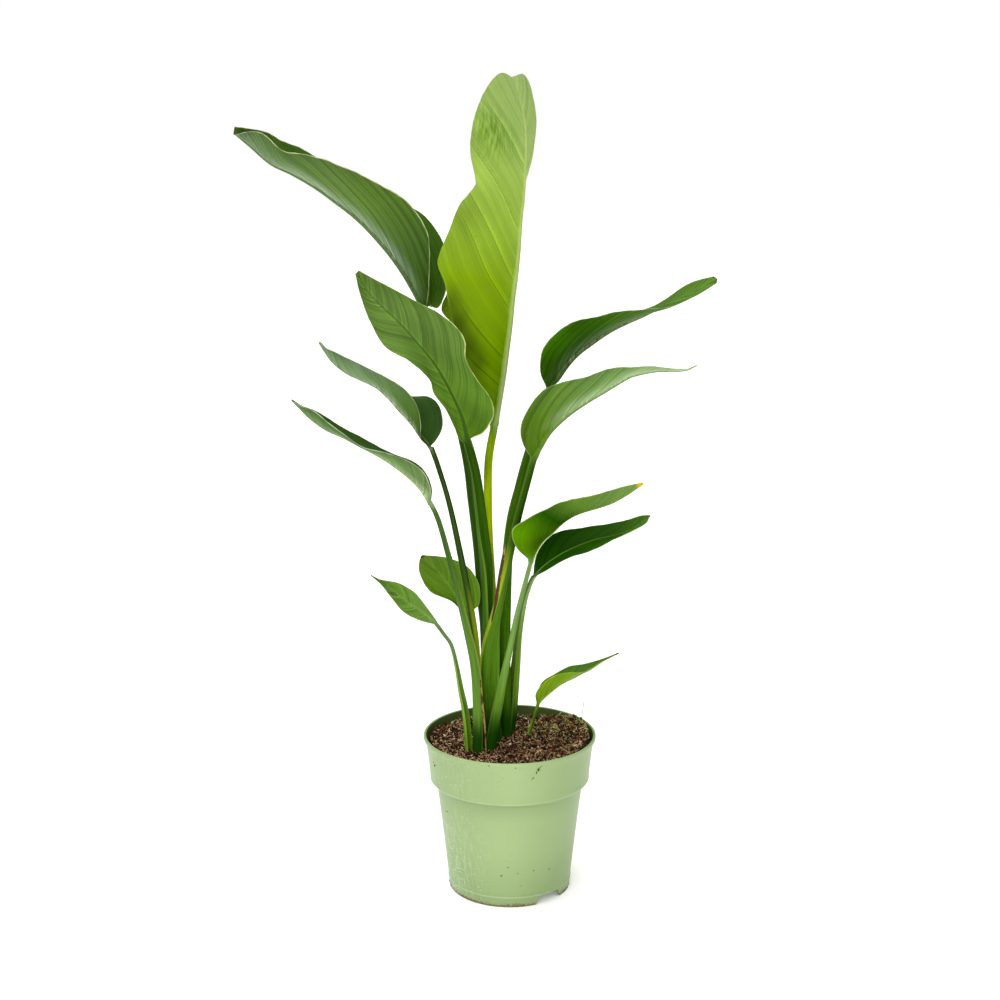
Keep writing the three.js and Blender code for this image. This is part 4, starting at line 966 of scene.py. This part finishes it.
def leaf_skin(name, seed, below, above, stem, bloom_and_sheen, rib, margin, tip, foot, edge, hem,
              hem_width=0.0, hem_from=-0.38, rib_width=1.5, rib_end=1.0, rib_glow=0.3,
              margin_width=1.0, far_margin=1.0, edge_strength=1.0, tip_from=0.985,
              bloom_and_sheen_share=0.5, bloom_and_sheen_reach=26.0, bloom_and_sheen_from=-1.0, bloom_and_sheen_to=2.0,
              contrast=0.3, lines=0.3, gloss=0.42, wax=0.1, folds=()):
    """Waxy leaf skin.

    below and above: the blade's two faces from base to tip; stem: the stalk from the soil
    up; every colour is sRGB hex, widths in mm. folds: [place along the rib, reach, side
    that catches the light]. bloom: the underside's pale wax together with a painted sheen
    beside the rib; bloom_and_sheen_from, bloom_and_sheen_to: where along the blade it starts and grows
    faint;
    far_margin: how much of the pale margin the far half has.
    """
    material, tree = new_material(name)
    place = add_node(tree, "TexCoord").outputs["Object"]
    across, along, rim, span, vein, damp, painted_shading, is_upper = (
        add_node(tree, "Attribute", {"attribute_name": label}).outputs["Fac"]
        for label in SKIN_MARKS + ("upper",))
    out_mm = add_node(tree, "Math", "ABSOLUTE", {0: across}).outputs[0]
    height = add_node(tree, "Math", "ADD", {0: span, 1: 1.0}).outputs[0]
    tones = {}
    for label, colours, share in (("below", below, span), ("above", above, span), ("stem", stem, height)):
        ramp = add_node(tree, "ValToRGB", None, {"Fac": share})
        stops = ramp.color_ramp.elements
        for number, colour in enumerate(colours):
            at = number / (len(colours) - 1)
            stop = stops[0] if number == 0 else stops[-1] if at == 1 else stops.new(at)
            stop.color = hex_linear(colour)
        tones[label] = ramp.outputs[0]
    # side veins: bands 5 to 10 mm apart and finer lines about 1 mm wide between them
    half = add_node(tree, "Math", "SIGN", {0: across}).outputs[0]
    sided = add_node(tree, "Math", "MULTIPLY_ADD", {0: half, 1: 40.0, 2: seed}).outputs[0]
    sided = add_node(tree, "Math", "MULTIPLY_ADD", {0: out_mm, 1: 0.012, 2: sided}).outputs[0]
    vein_place = add_node(tree, "CombineXYZ", None, {0: vein, 1: sided}).outputs[0]
    broad = add_node(tree, "TexNoise", None,
        {"Vector": vein_place, "Scale": 0.13, "Detail": 2.0, "Roughness": 0.5}).outputs["Fac"]
    fine = add_node(tree, "TexNoise", None,
        {"Vector": vein_place, "Scale": 0.42, "Detail": 3.0, "Roughness": 0.55}).outputs["Fac"]
    cloud = add_node(tree, "TexNoise", None,
        {"Vector": place, "Scale": 16.0, "Detail": 4.0, "Roughness": 0.6}).outputs["Fac"]
    tone = add_node(tree, "Math", "MULTIPLY_ADD",
        {0: broad, 1: 2.6 * contrast, 2: 1 - 2.1 * contrast - 0.175}).outputs[0]
    tone = add_node(tree, "Math", "MULTIPLY_ADD", {0: fine, 1: 1.6 * contrast, 2: tone}).outputs[0]
    tone = add_node(tree, "Math", "MULTIPLY_ADD", {0: cloud, 1: 0.35, 2: tone}).outputs[0]
    blade = add_node(tree, "Mix", COLOURS, {0: is_upper, 6: tones["below"], 7: tones["above"]}).outputs[2]
    # painted light and shade from the margins and patches set for each leaf
    tone = add_node(tree, "Math", "MULTIPLY_ADD", {0: tone, 1: painted_shading, 2: tone}).outputs[0]
    blade = add_node(tree, "VectorMath", "SCALE", {0: blade, "Scale": tone}).outputs[0]
    # beside the rib the underside is drawn pale, combed out along the veins: partly its pale wax and partly
    # a painted sheen
    near_rib = add_node(tree, "MapRange", EASED,
        {"Value": out_mm, "From Min": bloom_and_sheen_reach, "From Max": 1.0, "To Max": bloom_and_sheen_share}).outputs[0]
    combed = add_node(tree, "MapRange", None,
        {"Value": fine, "From Min": 0.4, "From Max": 0.6, "To Min": 0.3, "To Max": 1.4}).outputs[0]
    near_rib = add_node(tree, "Math", "MULTIPLY", {0: near_rib, 1: combed}).outputs[0]
    begun = add_node(tree, "MapRange", None,
        {"Value": span, "From Min": bloom_and_sheen_from - 0.1, "From Max": bloom_and_sheen_from + 0.12}).outputs[0]
    ending = add_node(tree, "MapRange", None,
        {"Value": span, "From Min": bloom_and_sheen_to - 0.1, "From Max": bloom_and_sheen_to + 0.15, "To Min": 1.0,
            "To Max": 0.35}).outputs[0]
    begun = add_node(tree, "Math", "MULTIPLY", {0: begun, 1: ending}).outputs[0]
    near_rib = add_node(tree, "Math", "MULTIPLY", {0: near_rib, 1: begun}).outputs[0]
    near_rib = add_node(tree, "Math", {"operation": "SUBTRACT", "use_clamp": True},
        {0: near_rib, 1: is_upper}).outputs[0]
    blade = add_node(tree, "Mix", COLOURS, {0: near_rib, 6: blade, 7: hex_linear(bloom_and_sheen)}).outputs[2]
    # lighter lines along the veins: partly the veins' own paler colour and partly a painted sheen on their
    # ridges
    thin = add_node(tree, "MapRange", None,
        {"Value": fine, "From Min": 0.57, "From Max": 0.64, "To Max": min(1.0, lines * 1.3)}).outputs[0]
    crossing = add_node(tree, "Math", "COMPARE", {0: broad, 1: 0.5, 2: 0.02}).outputs[0]
    thin = add_node(tree, "Math", {"operation": "MULTIPLY_ADD", "use_clamp": True},
        {0: crossing, 1: min(1.0, lines * 1.8), 2: thin}).outputs[0]
    thin = add_node(tree, "Math", "MULTIPLY", {0: thin, 1: begun}).outputs[0]
    lighter = add_node(tree, "VectorMath", "SCALE", {0: blade, "Scale": 1.5}).outputs[0]
    blade = add_node(tree, "Mix", COLOURS, {0: thin, 6: blade, 7: lighter}).outputs[2]
    # creases from the time the blade was rolled up, drawn with painted shade as a dark line in the fold and
    # a painted highlight on the flank that catches the light
    for fold_at, reach, lit in folds:
        apart = add_node(tree, "Math", "MULTIPLY_ADD", {0: vein, 1: lit, 2: -fold_at * lit}).outputs[0]
        near_half = add_node(tree, "MapRange", None,
            {"Value": across, "From Min": 2.0, "From Max": 8.0}).outputs[0]
        runs_out = add_node(tree, "MapRange", None,
            {"Value": out_mm, "From Min": reach, "From Max": reach - 22.0}).outputs[0]
        shown = add_node(tree, "Math", "MULTIPLY", {0: near_half, 1: runs_out}).outputs[0]
        for start, top, end, gain in ((-2.0, -0.8, 0.2, 0.55), (0.0, 0.8, 7.0, 1.25)):
            rise = add_node(tree, "MapRange", None,
                {"Value": apart, "From Min": start, "From Max": top}).outputs[0]
            fall = add_node(tree, "MapRange", None,
                {"Value": apart, "From Min": end, "From Max": top}).outputs[0]
            mask = add_node(tree, "Math", "MULTIPLY", {0: rise, 1: fall}).outputs[0]
            mask = add_node(tree, "Math", "MULTIPLY", {0: mask, 1: shown}).outputs[0]
            folded = add_node(tree, "VectorMath", "SCALE", {0: blade, "Scale": gain}).outputs[0]
            blade = add_node(tree, "Mix", COLOURS, {0: mask, 6: blade, 7: folded}).outputs[2]
    # where the blade looks wet, darker and streaked
    streaks = add_node(tree, "MapRange", None, {"Value": add_node(tree, "TexNoise", None, {
        "Vector": add_node(tree, "CombineXYZ", None,
            {0: across, 1: add_node(tree, "Math", "MULTIPLY", {0: along, 1: 0.22}).outputs[0]}).outputs[0],
        "Scale": 0.3, "Detail": 3.0}).outputs["Fac"], "From Min": 0.4, "From Max": 0.6, "To Min": 0.15,
        "To Max": 1.2}).outputs[0]
    wet = add_node(tree, "Math", {"operation": "MULTIPLY", "use_clamp": True},
        {0: damp, 1: streaks}).outputs[0]
    darker = add_node(tree, "VectorMath", "MULTIPLY", {0: blade, 1: (0.5, 0.62, 0.25)}).outputs[0]
    blade = add_node(tree, "Mix", COLOURS, {0: wet, 6: blade, 7: darker}).outputs[2]
    rib_edge = add_node(tree, "MapRange", None,
        {"Value": span, "From Min": 0.0, "From Max": 1.0, "To Min": rib_width,
            "To Max": rib_width * 0.35}).outputs[0]
    rib_ratio = add_node(tree, "Math", "DIVIDE", {0: out_mm, 1: rib_edge}).outputs[0]
    rib_mask = add_node(tree, "MapRange", EASED,
        {"Value": rib_ratio, "From Min": 1.3, "From Max": 0.6}).outputs[0]
    # painted highlight: a lighter strip along the flank beside the rib
    beyond = add_node(tree, "Math", "SUBTRACT", {0: out_mm, 1: rib_edge}).outputs[0]
    flank = add_node(tree, "MapRange", None,
        {"Value": beyond, "From Min": 0.0, "From Max": 0.7, "To Max": rib_glow}).outputs[0]
    flank = add_node(tree, "Math", "MULTIPLY", {0: flank, 1: add_node(
        tree, "MapRange", None, {"Value": beyond, "From Min": 3.2, "From Max": 1.2}).outputs[0]}).outputs[0]
    lighter = add_node(tree, "VectorMath", "SCALE", {0: blade, "Scale": 1.5}).outputs[0]
    blade = add_node(tree, "Mix", COLOURS, {0: flank, 6: blade, 7: lighter}).outputs[2]
    rib_fade = add_node(tree, "MapRange", None,
        {"Value": span, "From Min": 0.2, "From Max": 0.85, "To Min": 1.0, "To Max": rib_end}).outputs[0]
    rib_mask = add_node(tree, "Math", "MULTIPLY", {0: rib_mask, 1: rib_fade}).outputs[0]
    margin_mask = add_node(tree, "MapRange", None,
        {"Value": rim, "From Min": margin_width, "From Max": margin_width * 0.3, "To Max": 0.85}).outputs[0]
    margin_side = add_node(tree, "Math", "MULTIPLY_ADD",
        {0: half, 1: (1 - far_margin) / 2, 2: (1 + far_margin) / 2}).outputs[0]
    margin_mask = add_node(tree, "Math", "MULTIPLY", {0: margin_mask, 1: margin_side}).outputs[0]
    worn = add_node(tree, "TexNoise", {"noise_dimensions": "1D"},
        {"W": along, "Scale": 0.045, "Detail": 2.0}).outputs["Fac"]
    worn = add_node(tree, "MapRange", None,
        {"Value": worn, "From Min": 0.4, "From Max": 0.58, "To Min": 0.3}).outputs[0]
    margin_mask = add_node(tree, "Math", "MULTIPLY", {0: margin_mask, 1: worn}).outputs[0]
    tip_wander = add_node(tree, "Math", "MULTIPLY_ADD", {0: cloud, 1: 0.05, 2: span}).outputs[0]
    tip_mask = add_node(tree, "MapRange", None,
        {"Value": tip_wander, "From Min": tip_from + 0.025, "From Max": tip_from + 0.04}).outputs[0]
    for mask, code in ((rib_mask, rib), (margin_mask, margin), (tip_mask, tip)):
        blade = add_node(tree, "Mix", COLOURS, {0: mask, 6: blade, 7: hex_linear(code)}).outputs[2]
    # stalk: lengthwise fibres, a thin pale edge, the channel side drawn darker as painted shade, and the
    # foot of each sheath in a colour of its own, for most leaves a dark green that is painted shade low in
    # the clump
    fibre_place = add_node(tree, "CombineXYZ", None,
        {0: across, 1: add_node(tree, "Math", "MULTIPLY", {0: along, 1: 0.03}).outputs[0],
            2: seed}).outputs[0]
    fibres = add_node(tree, "TexNoise", None,
        {"Vector": fibre_place, "Scale": 0.7, "Detail": 3.0}).outputs["Fac"]
    grain = add_node(tree, "MapRange", None,
        {"Value": fibres, "From Min": 0.3, "From Max": 0.7, "To Min": 0.78, "To Max": 1.22}).outputs[0]
    stalk = add_node(tree, "VectorMath", "SCALE", {0: tones["stem"], "Scale": grain}).outputs[0]
    # painted shade: the channel side of the stalk drawn 30 % darker, with the painted light and shade
    # patches on top
    inner = add_node(tree, "Math", "MULTIPLY_ADD", {0: is_upper, 1: -0.3, 2: 1.0}).outputs[0]
    inner = add_node(tree, "Math", "MULTIPLY_ADD", {0: inner, 1: painted_shading, 2: inner}).outputs[0]
    stalk = add_node(tree, "VectorMath", "SCALE", {0: stalk, "Scale": inner}).outputs[0]
    sheathing = add_node(tree, "MapRange", None,
        {"Value": span, "From Min": hem_from, "From Max": hem_from - 0.14}).outputs[0]
    hem_mask = add_node(tree, "MapRange", None,
        {"Value": rim, "From Min": hem_width + 0.6, "From Max": hem_width - 0.6}).outputs[0]
    hem_mask = add_node(tree, "Math", "MULTIPLY", {0: hem_mask, 1: sheathing}).outputs[0]
    height_mm = add_node(tree, "SeparateXYZ", None, {"Vector": place}).outputs["Z"]
    # the lowest part of each sheath near the soil in its foot colour, mostly painted shade
    foot_mask = add_node(tree, "MapRange", EASED, {
        "Value": add_node(tree, "Math", "MULTIPLY_ADD", {0: fibres, 1: 0.02, 2: height_mm}).outputs[0],
        "From Min": 0.244, "From Max": 0.208}).outputs[0]
    edge_share = add_node(tree, "Math", "MULTIPLY_ADD",
        {0: sheathing, 1: 0.55 * edge_strength, 2: 0.25 * edge_strength}).outputs[0]
    edge_mask = add_node(tree, "MapRange", None,
        {"Value": rim, "From Min": 1.0, "From Max": 0.3, "To Max": edge_share}).outputs[0]
    for mask, code in ((hem_mask, hem), (foot_mask, foot), (edge_mask, edge)):
        stalk = add_node(tree, "Mix", COLOURS, {0: mask, 6: stalk, 7: hex_linear(code)}).outputs[2]
    in_blade = add_node(tree, "MapRange", EASED,
        {"Value": along, "From Min": -14.0, "From Max": 12.0}).outputs[0]
    skin = add_node(tree, "Mix", COLOURS, {0: in_blade, 6: stalk, 7: blade}).outputs[2]
    # relief: bands and fine lines together, about a quarter of a millimetre
    bumps = add_node(tree, "Math", "MULTIPLY_ADD", {0: fine, 1: 0.6, 2: broad}).outputs[0]
    bumps = add_node(tree, "Mix", {"data_type": "FLOAT"}, {0: in_blade, 2: fibres, 3: bumps}).outputs[0]
    relief = add_node(tree, "Bump", None, {"Height": bumps, "Strength": 0.6, "Distance": 0.0014}).outputs[0]
    shine = add_node(tree, "MapRange", None,
        {"Value": cloud, "From Min": 0.3, "From Max": 0.7, "To Min": gloss - 0.06,
            "To Max": gloss + 0.08}).outputs[0]
    waxy = add_node(tree, "Math", "MULTIPLY_ADD", {0: in_blade, 1: wax * 0.75, 2: wax * 0.25}).outputs[0]
    shader = add_node(tree, "BsdfPrincipled", None,
        {"Base Color": skin, "Normal": relief, "Roughness": shine, "IOR": 1.45, "Specular IOR Level": waxy})
    add_node(tree, "OutputMaterial", None, {"Surface": shader.outputs[0]})
    return material


# Old leaves: dark green, waxy above, paler below. Young leaves: thin and lime
# green, almost the same on both faces. Each takes the tones of its own age.
# the pale colour drawn beside each rib below is the underside's wax together with a painted sheen
PALETTES = {
    "leaf_centre": dict(
        below=["#5b7c00", "#6a8c00", "#7a9a08", "#8ba93a", "#8eaa54", "#90a862"],
        above=["#5b7a06", "#74940f", "#8da84a"],
        stem=["#2f5404", "#5c7a06", "#a8bc08", "#9fba04", "#5f8404"], bloom_and_sheen="#a4c06a", rib="#a0b66c",
        margin="#7c9440", wax=0.04, rib_width=4.2,
        tip="#96ac62", foot="#2a5004", edge="#7f8c2c", hem="#8f9a1c", bloom_and_sheen_share=0.12, bloom_and_sheen_from=0.35,
        rib_end=0.7, contrast=0.19, lines=0.12, rib_glow=0.1,
        folds=[(302, 74, 1), (229, 100, -1), (172, 104, 1), (138, 100, 1), (80, 80, 1), (47, 62, 1)]),
    "leaf_upper_left": dict(
        below=["#3c5a12", "#3c5c16", "#4e6c1e", "#506c30", "#4f6a3a"],
        above=["#3e5e12", "#33510c", "#3a5614"],
        stem=["#284806", "#284806", "#30520a"], bloom_and_sheen="#9aa894", rib="#4c6830", margin="#c6cf98",
        margin_width=1.0,
        tip="#4a4a1c", foot="#1c4506", edge="#90a868", hem="#5f7a20", bloom_and_sheen_share=0.6, bloom_and_sheen_reach=30.0,
        bloom_and_sheen_from=0.1, bloom_and_sheen_to=0.72, rib_width=5.0, rib_glow=0.6, contrast=0.5, lines=0.4,
        edge_strength=0.35),
    "leaf_front_left": dict(
        below=["#4f6f18", "#5c7a2a", "#55732c"],
        above=["#3f6200", "#50731a", "#517027", "#55722e", "#496424"],
        stem=["#2f5a06", "#376208", "#386208", "#30530a"], bloom_and_sheen="#8ba762", rib="#33500a", rib_width=3.0,
        margin="#ccd88c", margin_width=1.9, far_margin=0.15, rib_glow=0.5, rib_end=0.15,
        tip="#5a5a24", foot="#1c4506", edge="#6f8a3c", hem="#436a12", hem_width=0.4, edge_strength=0.45,
        bloom_and_sheen_share=0.4, bloom_and_sheen_reach=16.0, bloom_and_sheen_from=0.25, contrast=0.44, lines=0.35),
    "leaf_upper_right": dict(
        below=["#345a04", "#284e00", "#2a4e04", "#45661c", "#527236"],
        above=["#264a04", "#33560c", "#4f7226"],
        stem=["#3a6008", "#3c6208", "#2c5004"], bloom_and_sheen="#8a9a72", rib="#4c6430", margin="#8fa56c",
        rib_width=2.6, rib_glow=0.3, rib_end=0.1, bloom_and_sheen_from=0.12, wax=0.04, edge_strength=0.3,
        tip="#5a5a24", foot="#1c4506", edge="#90a868", hem="#5f7a20", bloom_and_sheen_share=0.4, bloom_and_sheen_reach=22.0,
        contrast=0.45, lines=0.35),
    "leaf_right": dict(
        below=["#486a08", "#4c6e04", "#587a2e", "#688848", "#6a864e"], above=["#3a5c10", "#4f7226"],
        stem=["#4a760e", "#517a1a", "#284a08", "#2a4a06"], bloom_and_sheen="#a9bc92", rib="#5c7a34", margin="#8fa56c",
        bloom_and_sheen_from=0.28,
        tip="#6a6a3c", foot="#1c4506", edge="#9aac58", hem="#94a81c", hem_width=2.4, edge_strength=0.5,
        bloom_and_sheen_share=0.6, bloom_and_sheen_reach=28.0, rib_width=3.4, rib_glow=0.6, contrast=0.42, lines=0.6),
    "leaf_mid_left": dict(
        below=["#36540c", "#4c6c26", "#6c885c", "#587240"], above=["#2e4a1c", "#33501c", "#4a6a3c"],
        stem=["#3a5c1c", "#2b4614", "#263f10"], bloom_and_sheen="#98ad85", rib="#48632c", margin="#9fb080",
        margin_width=0.7,
        tip="#b0a860", foot="#1c4506", edge="#4a5618", hem="#86980f", hem_width=1.2, hem_from=-0.52,
        edge_strength=0.6, bloom_and_sheen_share=0.6, bloom_and_sheen_reach=16.0, bloom_and_sheen_to=0.6, contrast=0.3, lines=0.06),
    "leaf_low_left": dict(
        below=["#789655", "#58793a", "#507034", "#4a6a30"], above=["#2c4c10", "#2a4a08", "#33561c"],
        stem=["#5c8228", "#56782a", "#3a5820", "#3a5624"], bloom_and_sheen="#a3b88a", rib="#7f9a60", margin="#b4c49c",
        bloom_and_sheen_to=0.55,
        tip="#4a5a24", foot="#1c4506", edge="#8fa048", hem="#7f9020", bloom_and_sheen_share=0.45, bloom_and_sheen_reach=14.0,
        contrast=0.3, lines=0.2, edge_strength=0.35),
    "leaf_small_back": dict(
        below=["#40640c", "#4c7014"], above=["#567e0c", "#5f8220", "#64862c"],
        stem=["#3a5c14", "#4a6a24"], bloom_and_sheen="#7f9a4a", rib="#7c9a46", margin="#8fa55a",
        tip="#6b4a22", foot="#3a6408", edge="#7f8c3c", hem="#7f9020", bloom_and_sheen_share=0.1, contrast=0.4,
        lines=0.15, tip_from=0.97, wax=0.03),
    "leaf_seedling_left": dict(
        below=["#5a7c20", "#547628"], above=["#64843a", "#5a7c2c", "#4f7226"],
        stem=["#6a8f18", "#6f9040", "#7a9660", "#7a9660"], bloom_and_sheen="#86a055", rib="#7c9a4a", margin="#8fa55a",
        tip="#5a5a24", foot="#5f9008", edge="#7f9c3c", hem="#7f9c20", bloom_and_sheen_share=0.3, contrast=0.3,
        lines=0.4),
    "leaf_low_right_front": dict(
        below=["#4c7600", "#487200", "#1c4400", "#557824", "#5e7e36", "#64823c"],
        above=["#3c6402", "#4c7410", "#5a7c24"],
        stem=["#33600a", "#62862c", "#6c8c48", "#6c8a50"], bloom_and_sheen="#8fa862", rib="#d8e0c0", margin="#9fb070",
        tip="#c8a01c", foot="#1c4506", edge="#6a8a44", hem="#5f8430", edge_strength=0.5, bloom_and_sheen_share=0.15,
        bloom_and_sheen_from=0.58, contrast=0.22, lines=0.15, tip_from=0.95, rib_width=1.0, wax=0.01),
    "leaf_low_right_back": dict(
        below=["#5f7c3c", "#54742e", "#5f7c40"], above=["#1c4404", "#1c4402", "#264e06", "#466a22"],
        stem=["#2c5a06", "#70942c", "#7a965a", "#7a965c"], bloom_and_sheen="#7f9a60", rib="#5f8034", margin="#8aa066",
        tip="#3a5010", foot="#1a4004", edge="#7f9c50", hem="#55780c", hem_width=1.2, bloom_and_sheen_share=0.3,
        contrast=0.3, lines=0.05, gloss=0.5, wax=0.01, edge_strength=0.4),
    "leaf_seedling_right": dict(
        below=["#6f9404", "#7ba00c", "#6f9418", "#5f8418"], above=["#446c08", "#3f6610", "#3a5c14"],
        stem=["#4f7804", "#5c8004"], bloom_and_sheen="#98b440", rib="#7fa02c", margin="#a8c060",
        tip="#3c3c1c", foot="#3f6a04", edge="#8fa840", hem="#7f9c20", bloom_and_sheen_share=0.25, contrast=0.25,
        lines=0.3, tip_from=0.97),
}
# the lighter and darker margins and patches set here are painted light and shade
SURFACE = {
    "leaf_centre": dict(
        lean=[0.5, 0.57, 0.7, 1.02, 0.92, 0.62, 0.6], curl=0.0, swell=1.6, pleat=0.35,
        nicks=[(266, 3.5, 9), (178, -2, 10)], damp=(318, 60, 20), rim_shading=(-0.12, -0.05),
        painted_shading_patches=[(134, 92, 18, 15, -0.5), (113, 75, 18, 15, -0.52), (91, 56, 18, 15, -0.5),
            (73, 39, 18, 12, -0.4),
               (276, 74, 16, 18, 0.24), (233, 84, 26, 20, -0.2), (349, 30, 34, 34, -0.12),
               (-48, 5, 24, 3.5, -0.45)],
        creases=[(1, 302, 2.0, 0, 70), (1, 231, 3.0, 0, 90), (1, 172, 3.0, 0, 90), (1, 139, 2.4, 0, 90),
            (1, 80, 1.8, 0, 72), (1, 47, 1.6, 0, 56)]),
    "leaf_upper_left": dict(lean=[1.6, 2.2, 2.6, 2.6], curl=0.2, swell=1.3, pleat=0.6, rim_shading=(-0.3, 0.3),
        painted_shading_patches=[(288, 5, 10, 30, -0.4), (30, 14, 30, 16, 0.3)]),
    "leaf_front_left": dict(lean=[1.3, 1.6, 1.7, 1.7], curl=0.15, swell=1.2, pleat=0.9, rim_shading=(0.0, 0.15),
        painted_shading_patches=[(45, 20, 22, 20, -0.22), (136, 22, 30, 16, -0.18)]),
    "leaf_upper_right": dict(lean=[1.0, 1.8, 2.4, 2.4], pleat=0.5,
        painted_shading_patches=[(46, 42, 18, 20, 0.6), (100, 20, 24, 12, 0.4)]),
    "leaf_right": dict(lean=[1.0, 1.4, 2.0, 2.2], curl=0.2, pleat=0.7, rim_shading=(-0.3, 0.0),
        painted_shading_patches=[(-290, -11, 80, 6, 0.8)]),
    "leaf_mid_left": dict(rim_shading=(-0.35, 0.3), painted_shading_patches=[(156, 12, 34, 12, -0.15)]),
    "leaf_low_left": dict(rim_shading=(-0.3, 0.0), painted_shading_patches=[(192, 8, 20, 12, -0.3), (37, 10, 22, 10, -0.3)]),
    "leaf_low_right_back": dict(rim_shading=(0.9, 0.0), painted_shading_patches=[(-185, 0, 45, 20, 0.6)]),
    "leaf_low_right_front": dict(painted_shading_patches=[(40, 36, 20, 10, 0.3), (28, 4, 16, 12, -0.55),
            (110, 10, 50, 30, -0.12)]),
    "leaf_seedling_right": dict(swell=0.3),
    "leaf_seedling_left": dict(swell=0.4),
    "leaf_small_back": dict(swell=0.7, pleat=0.6),
}
YOUNG = ("leaf_centre", "leaf_low_right_front", "leaf_seedling_right")

for number, (name, leaf) in enumerate(LEAVES.items()):
    age = "young" if name in YOUNG else "waxy"
    tones = dict({"rib_width": leaf["half_width"][-1] * 0.42}, **PALETTES[name])
    skin = leaf_skin(age + "_leaf_skin_" + name[5:], number * 3.7, **tones)
    grow_leaf(name + "_grown", leaf, skin, "young_leaf" if age == "young" else "leaf", number * 5.3 + 1,
        **SURFACE.get(name, {}))

# Withered remains between the stalks: a dry bract split off the main clump, and
# a short sheath whose tip has turned brown. Paper-thin and stiff.
dry_sheath, tree = new_material("withered_leaf_sheath")
place = add_node(tree, "TexCoord").outputs["Object"]
strands = add_node(tree, "TexNoise", None, {"Vector": add_node(tree, "Mapping", None, {
    "Vector": place, "Scale": (1.0, 1.0, 0.08)}).outputs[0], "Scale": 900.0, "Detail": 3.0}).outputs["Fac"]
patches = add_node(tree, "TexNoise", None, {"Vector": place, "Scale": 110.0, "Detail": 3.0}).outputs["Fac"]
share = add_node(tree, "Math", "MULTIPLY_ADD", {
    0: patches, 1: 1.5, 2: add_node(tree, "Attribute",
        {"attribute_name": "dryness"}).outputs["Fac"]}).outputs[0]
ramp = add_node(tree, "ValToRGB", None,
    {"Fac": add_node(tree, "Math", "MULTIPLY_ADD", {0: strands, 1: 0.4, 2: share}).outputs[0]})
ramp.color_ramp.elements[0].position, ramp.color_ramp.elements[0].color = 0.55, hex_linear("#7f8c10")
ramp.color_ramp.elements[1].position, ramp.color_ramp.elements[1].color = 1.05, hex_linear("#483014")
stop = ramp.color_ramp.elements.new(0.8)
stop.color = hex_linear("#a88a54")
shader = add_node(tree, "BsdfPrincipled", None,
    {"Base Color": ramp.outputs[0], "Roughness": 0.7, "Specular IOR Level": 0.2})
add_node(tree, "OutputMaterial", None, {"Surface": shader.outputs[0]})

STRIPS = (                                            # name, centre line, half widths in mm, dryness
    ("withered_bract", seen(
        (480.6, 680, -30.4), (481.2, 690, -30.6), (482.2, 702, -31), (483.4, 714, -31),
        (484.6, 725, -30.6), (485.3, 738, -30), (485.8, 752, -29), digits=1),
     [0.3, 0.8, 1.1, 1.1, 0.9, 0.6], (0.05, -0.1)),
    ("browning_sheath", [
        [-5.8, -9, 433], [-7.0, -9, 421.6], [-9.4, -9.5, 406.6], [-12.4, -10, 388],
        [-15.4, -11.5, 369], [-18.4, -11, 353], [-21.9, -10.5, 338]],
     [0.4, 1.7, 2.4, 2.5, 2.1, 1.4, 0.4], (-0.1, 0.6)),
)
STRIP_THICKNESS = 0.4
for name, path, widths, dryness in STRIPS:
    bpy.ops.object.select_all(action="DESELECT")
    bpy.ops.mesh.primitive_grid_add(x_subdivisions=4, y_subdivisions=24, size=1)
    strip = bpy.context.object
    strip.name = name
    values = []
    for vertex in strip.data.vertices:
        share, side = vertex.co.y + 0.5, vertex.co.x * 2
        at = smooth([Vector(p) for p in path], share)
        vertex.co = (at + Vector((side * smooth(widths, share), side * side * 1.2, 0))) * MM
        values.append(dryness[0] + (dryness[1] - dryness[0]) * share - 0.2 * side)
    strip.data.attributes.new("dryness", "FLOAT", "POINT").data.foreach_set("value", values)
    apply_modifier(strip, "SOLIDIFY", thickness=STRIP_THICKNESS * MM, offset=0)
    finish_piece(strip, dry_sheath, smooth_angle=50)

# One thin root hair that stands out of the soil at the back right, bent outwards.
HAIR_RADIUS, HAIR_LENGTH, HAIR_AT = 0.45, 34, (91, 40, 206)
bpy.ops.object.select_all(action="DESELECT")
bpy.ops.mesh.primitive_cylinder_add(vertices=6, radius=HAIR_RADIUS * MM, depth=HAIR_LENGTH * MM,
    location=[v * MM for v in HAIR_AT])
root_hair = bpy.context.object
root_hair.name = "root_hair"
bpy.ops.object.transform_apply(location=True)
bpy.ops.object.mode_set(mode="EDIT")
for height in (196, 203, 210, 217):
    bpy.ops.mesh.select_all(action="SELECT")
    bpy.ops.mesh.bisect(plane_co=(0, 0, height * MM), plane_no=(0, 0, 1))
bpy.ops.object.mode_set(mode="OBJECT")
for vertex in root_hair.data.vertices:
    rise = vertex.co.z / MM - 190
    vertex.co.x += (0.0022 * rise * rise - 0.9) * MM
    vertex.co.y -= 0.04 * rise * MM
finish_piece(root_hair, dry_sheath, smooth_angle=60)
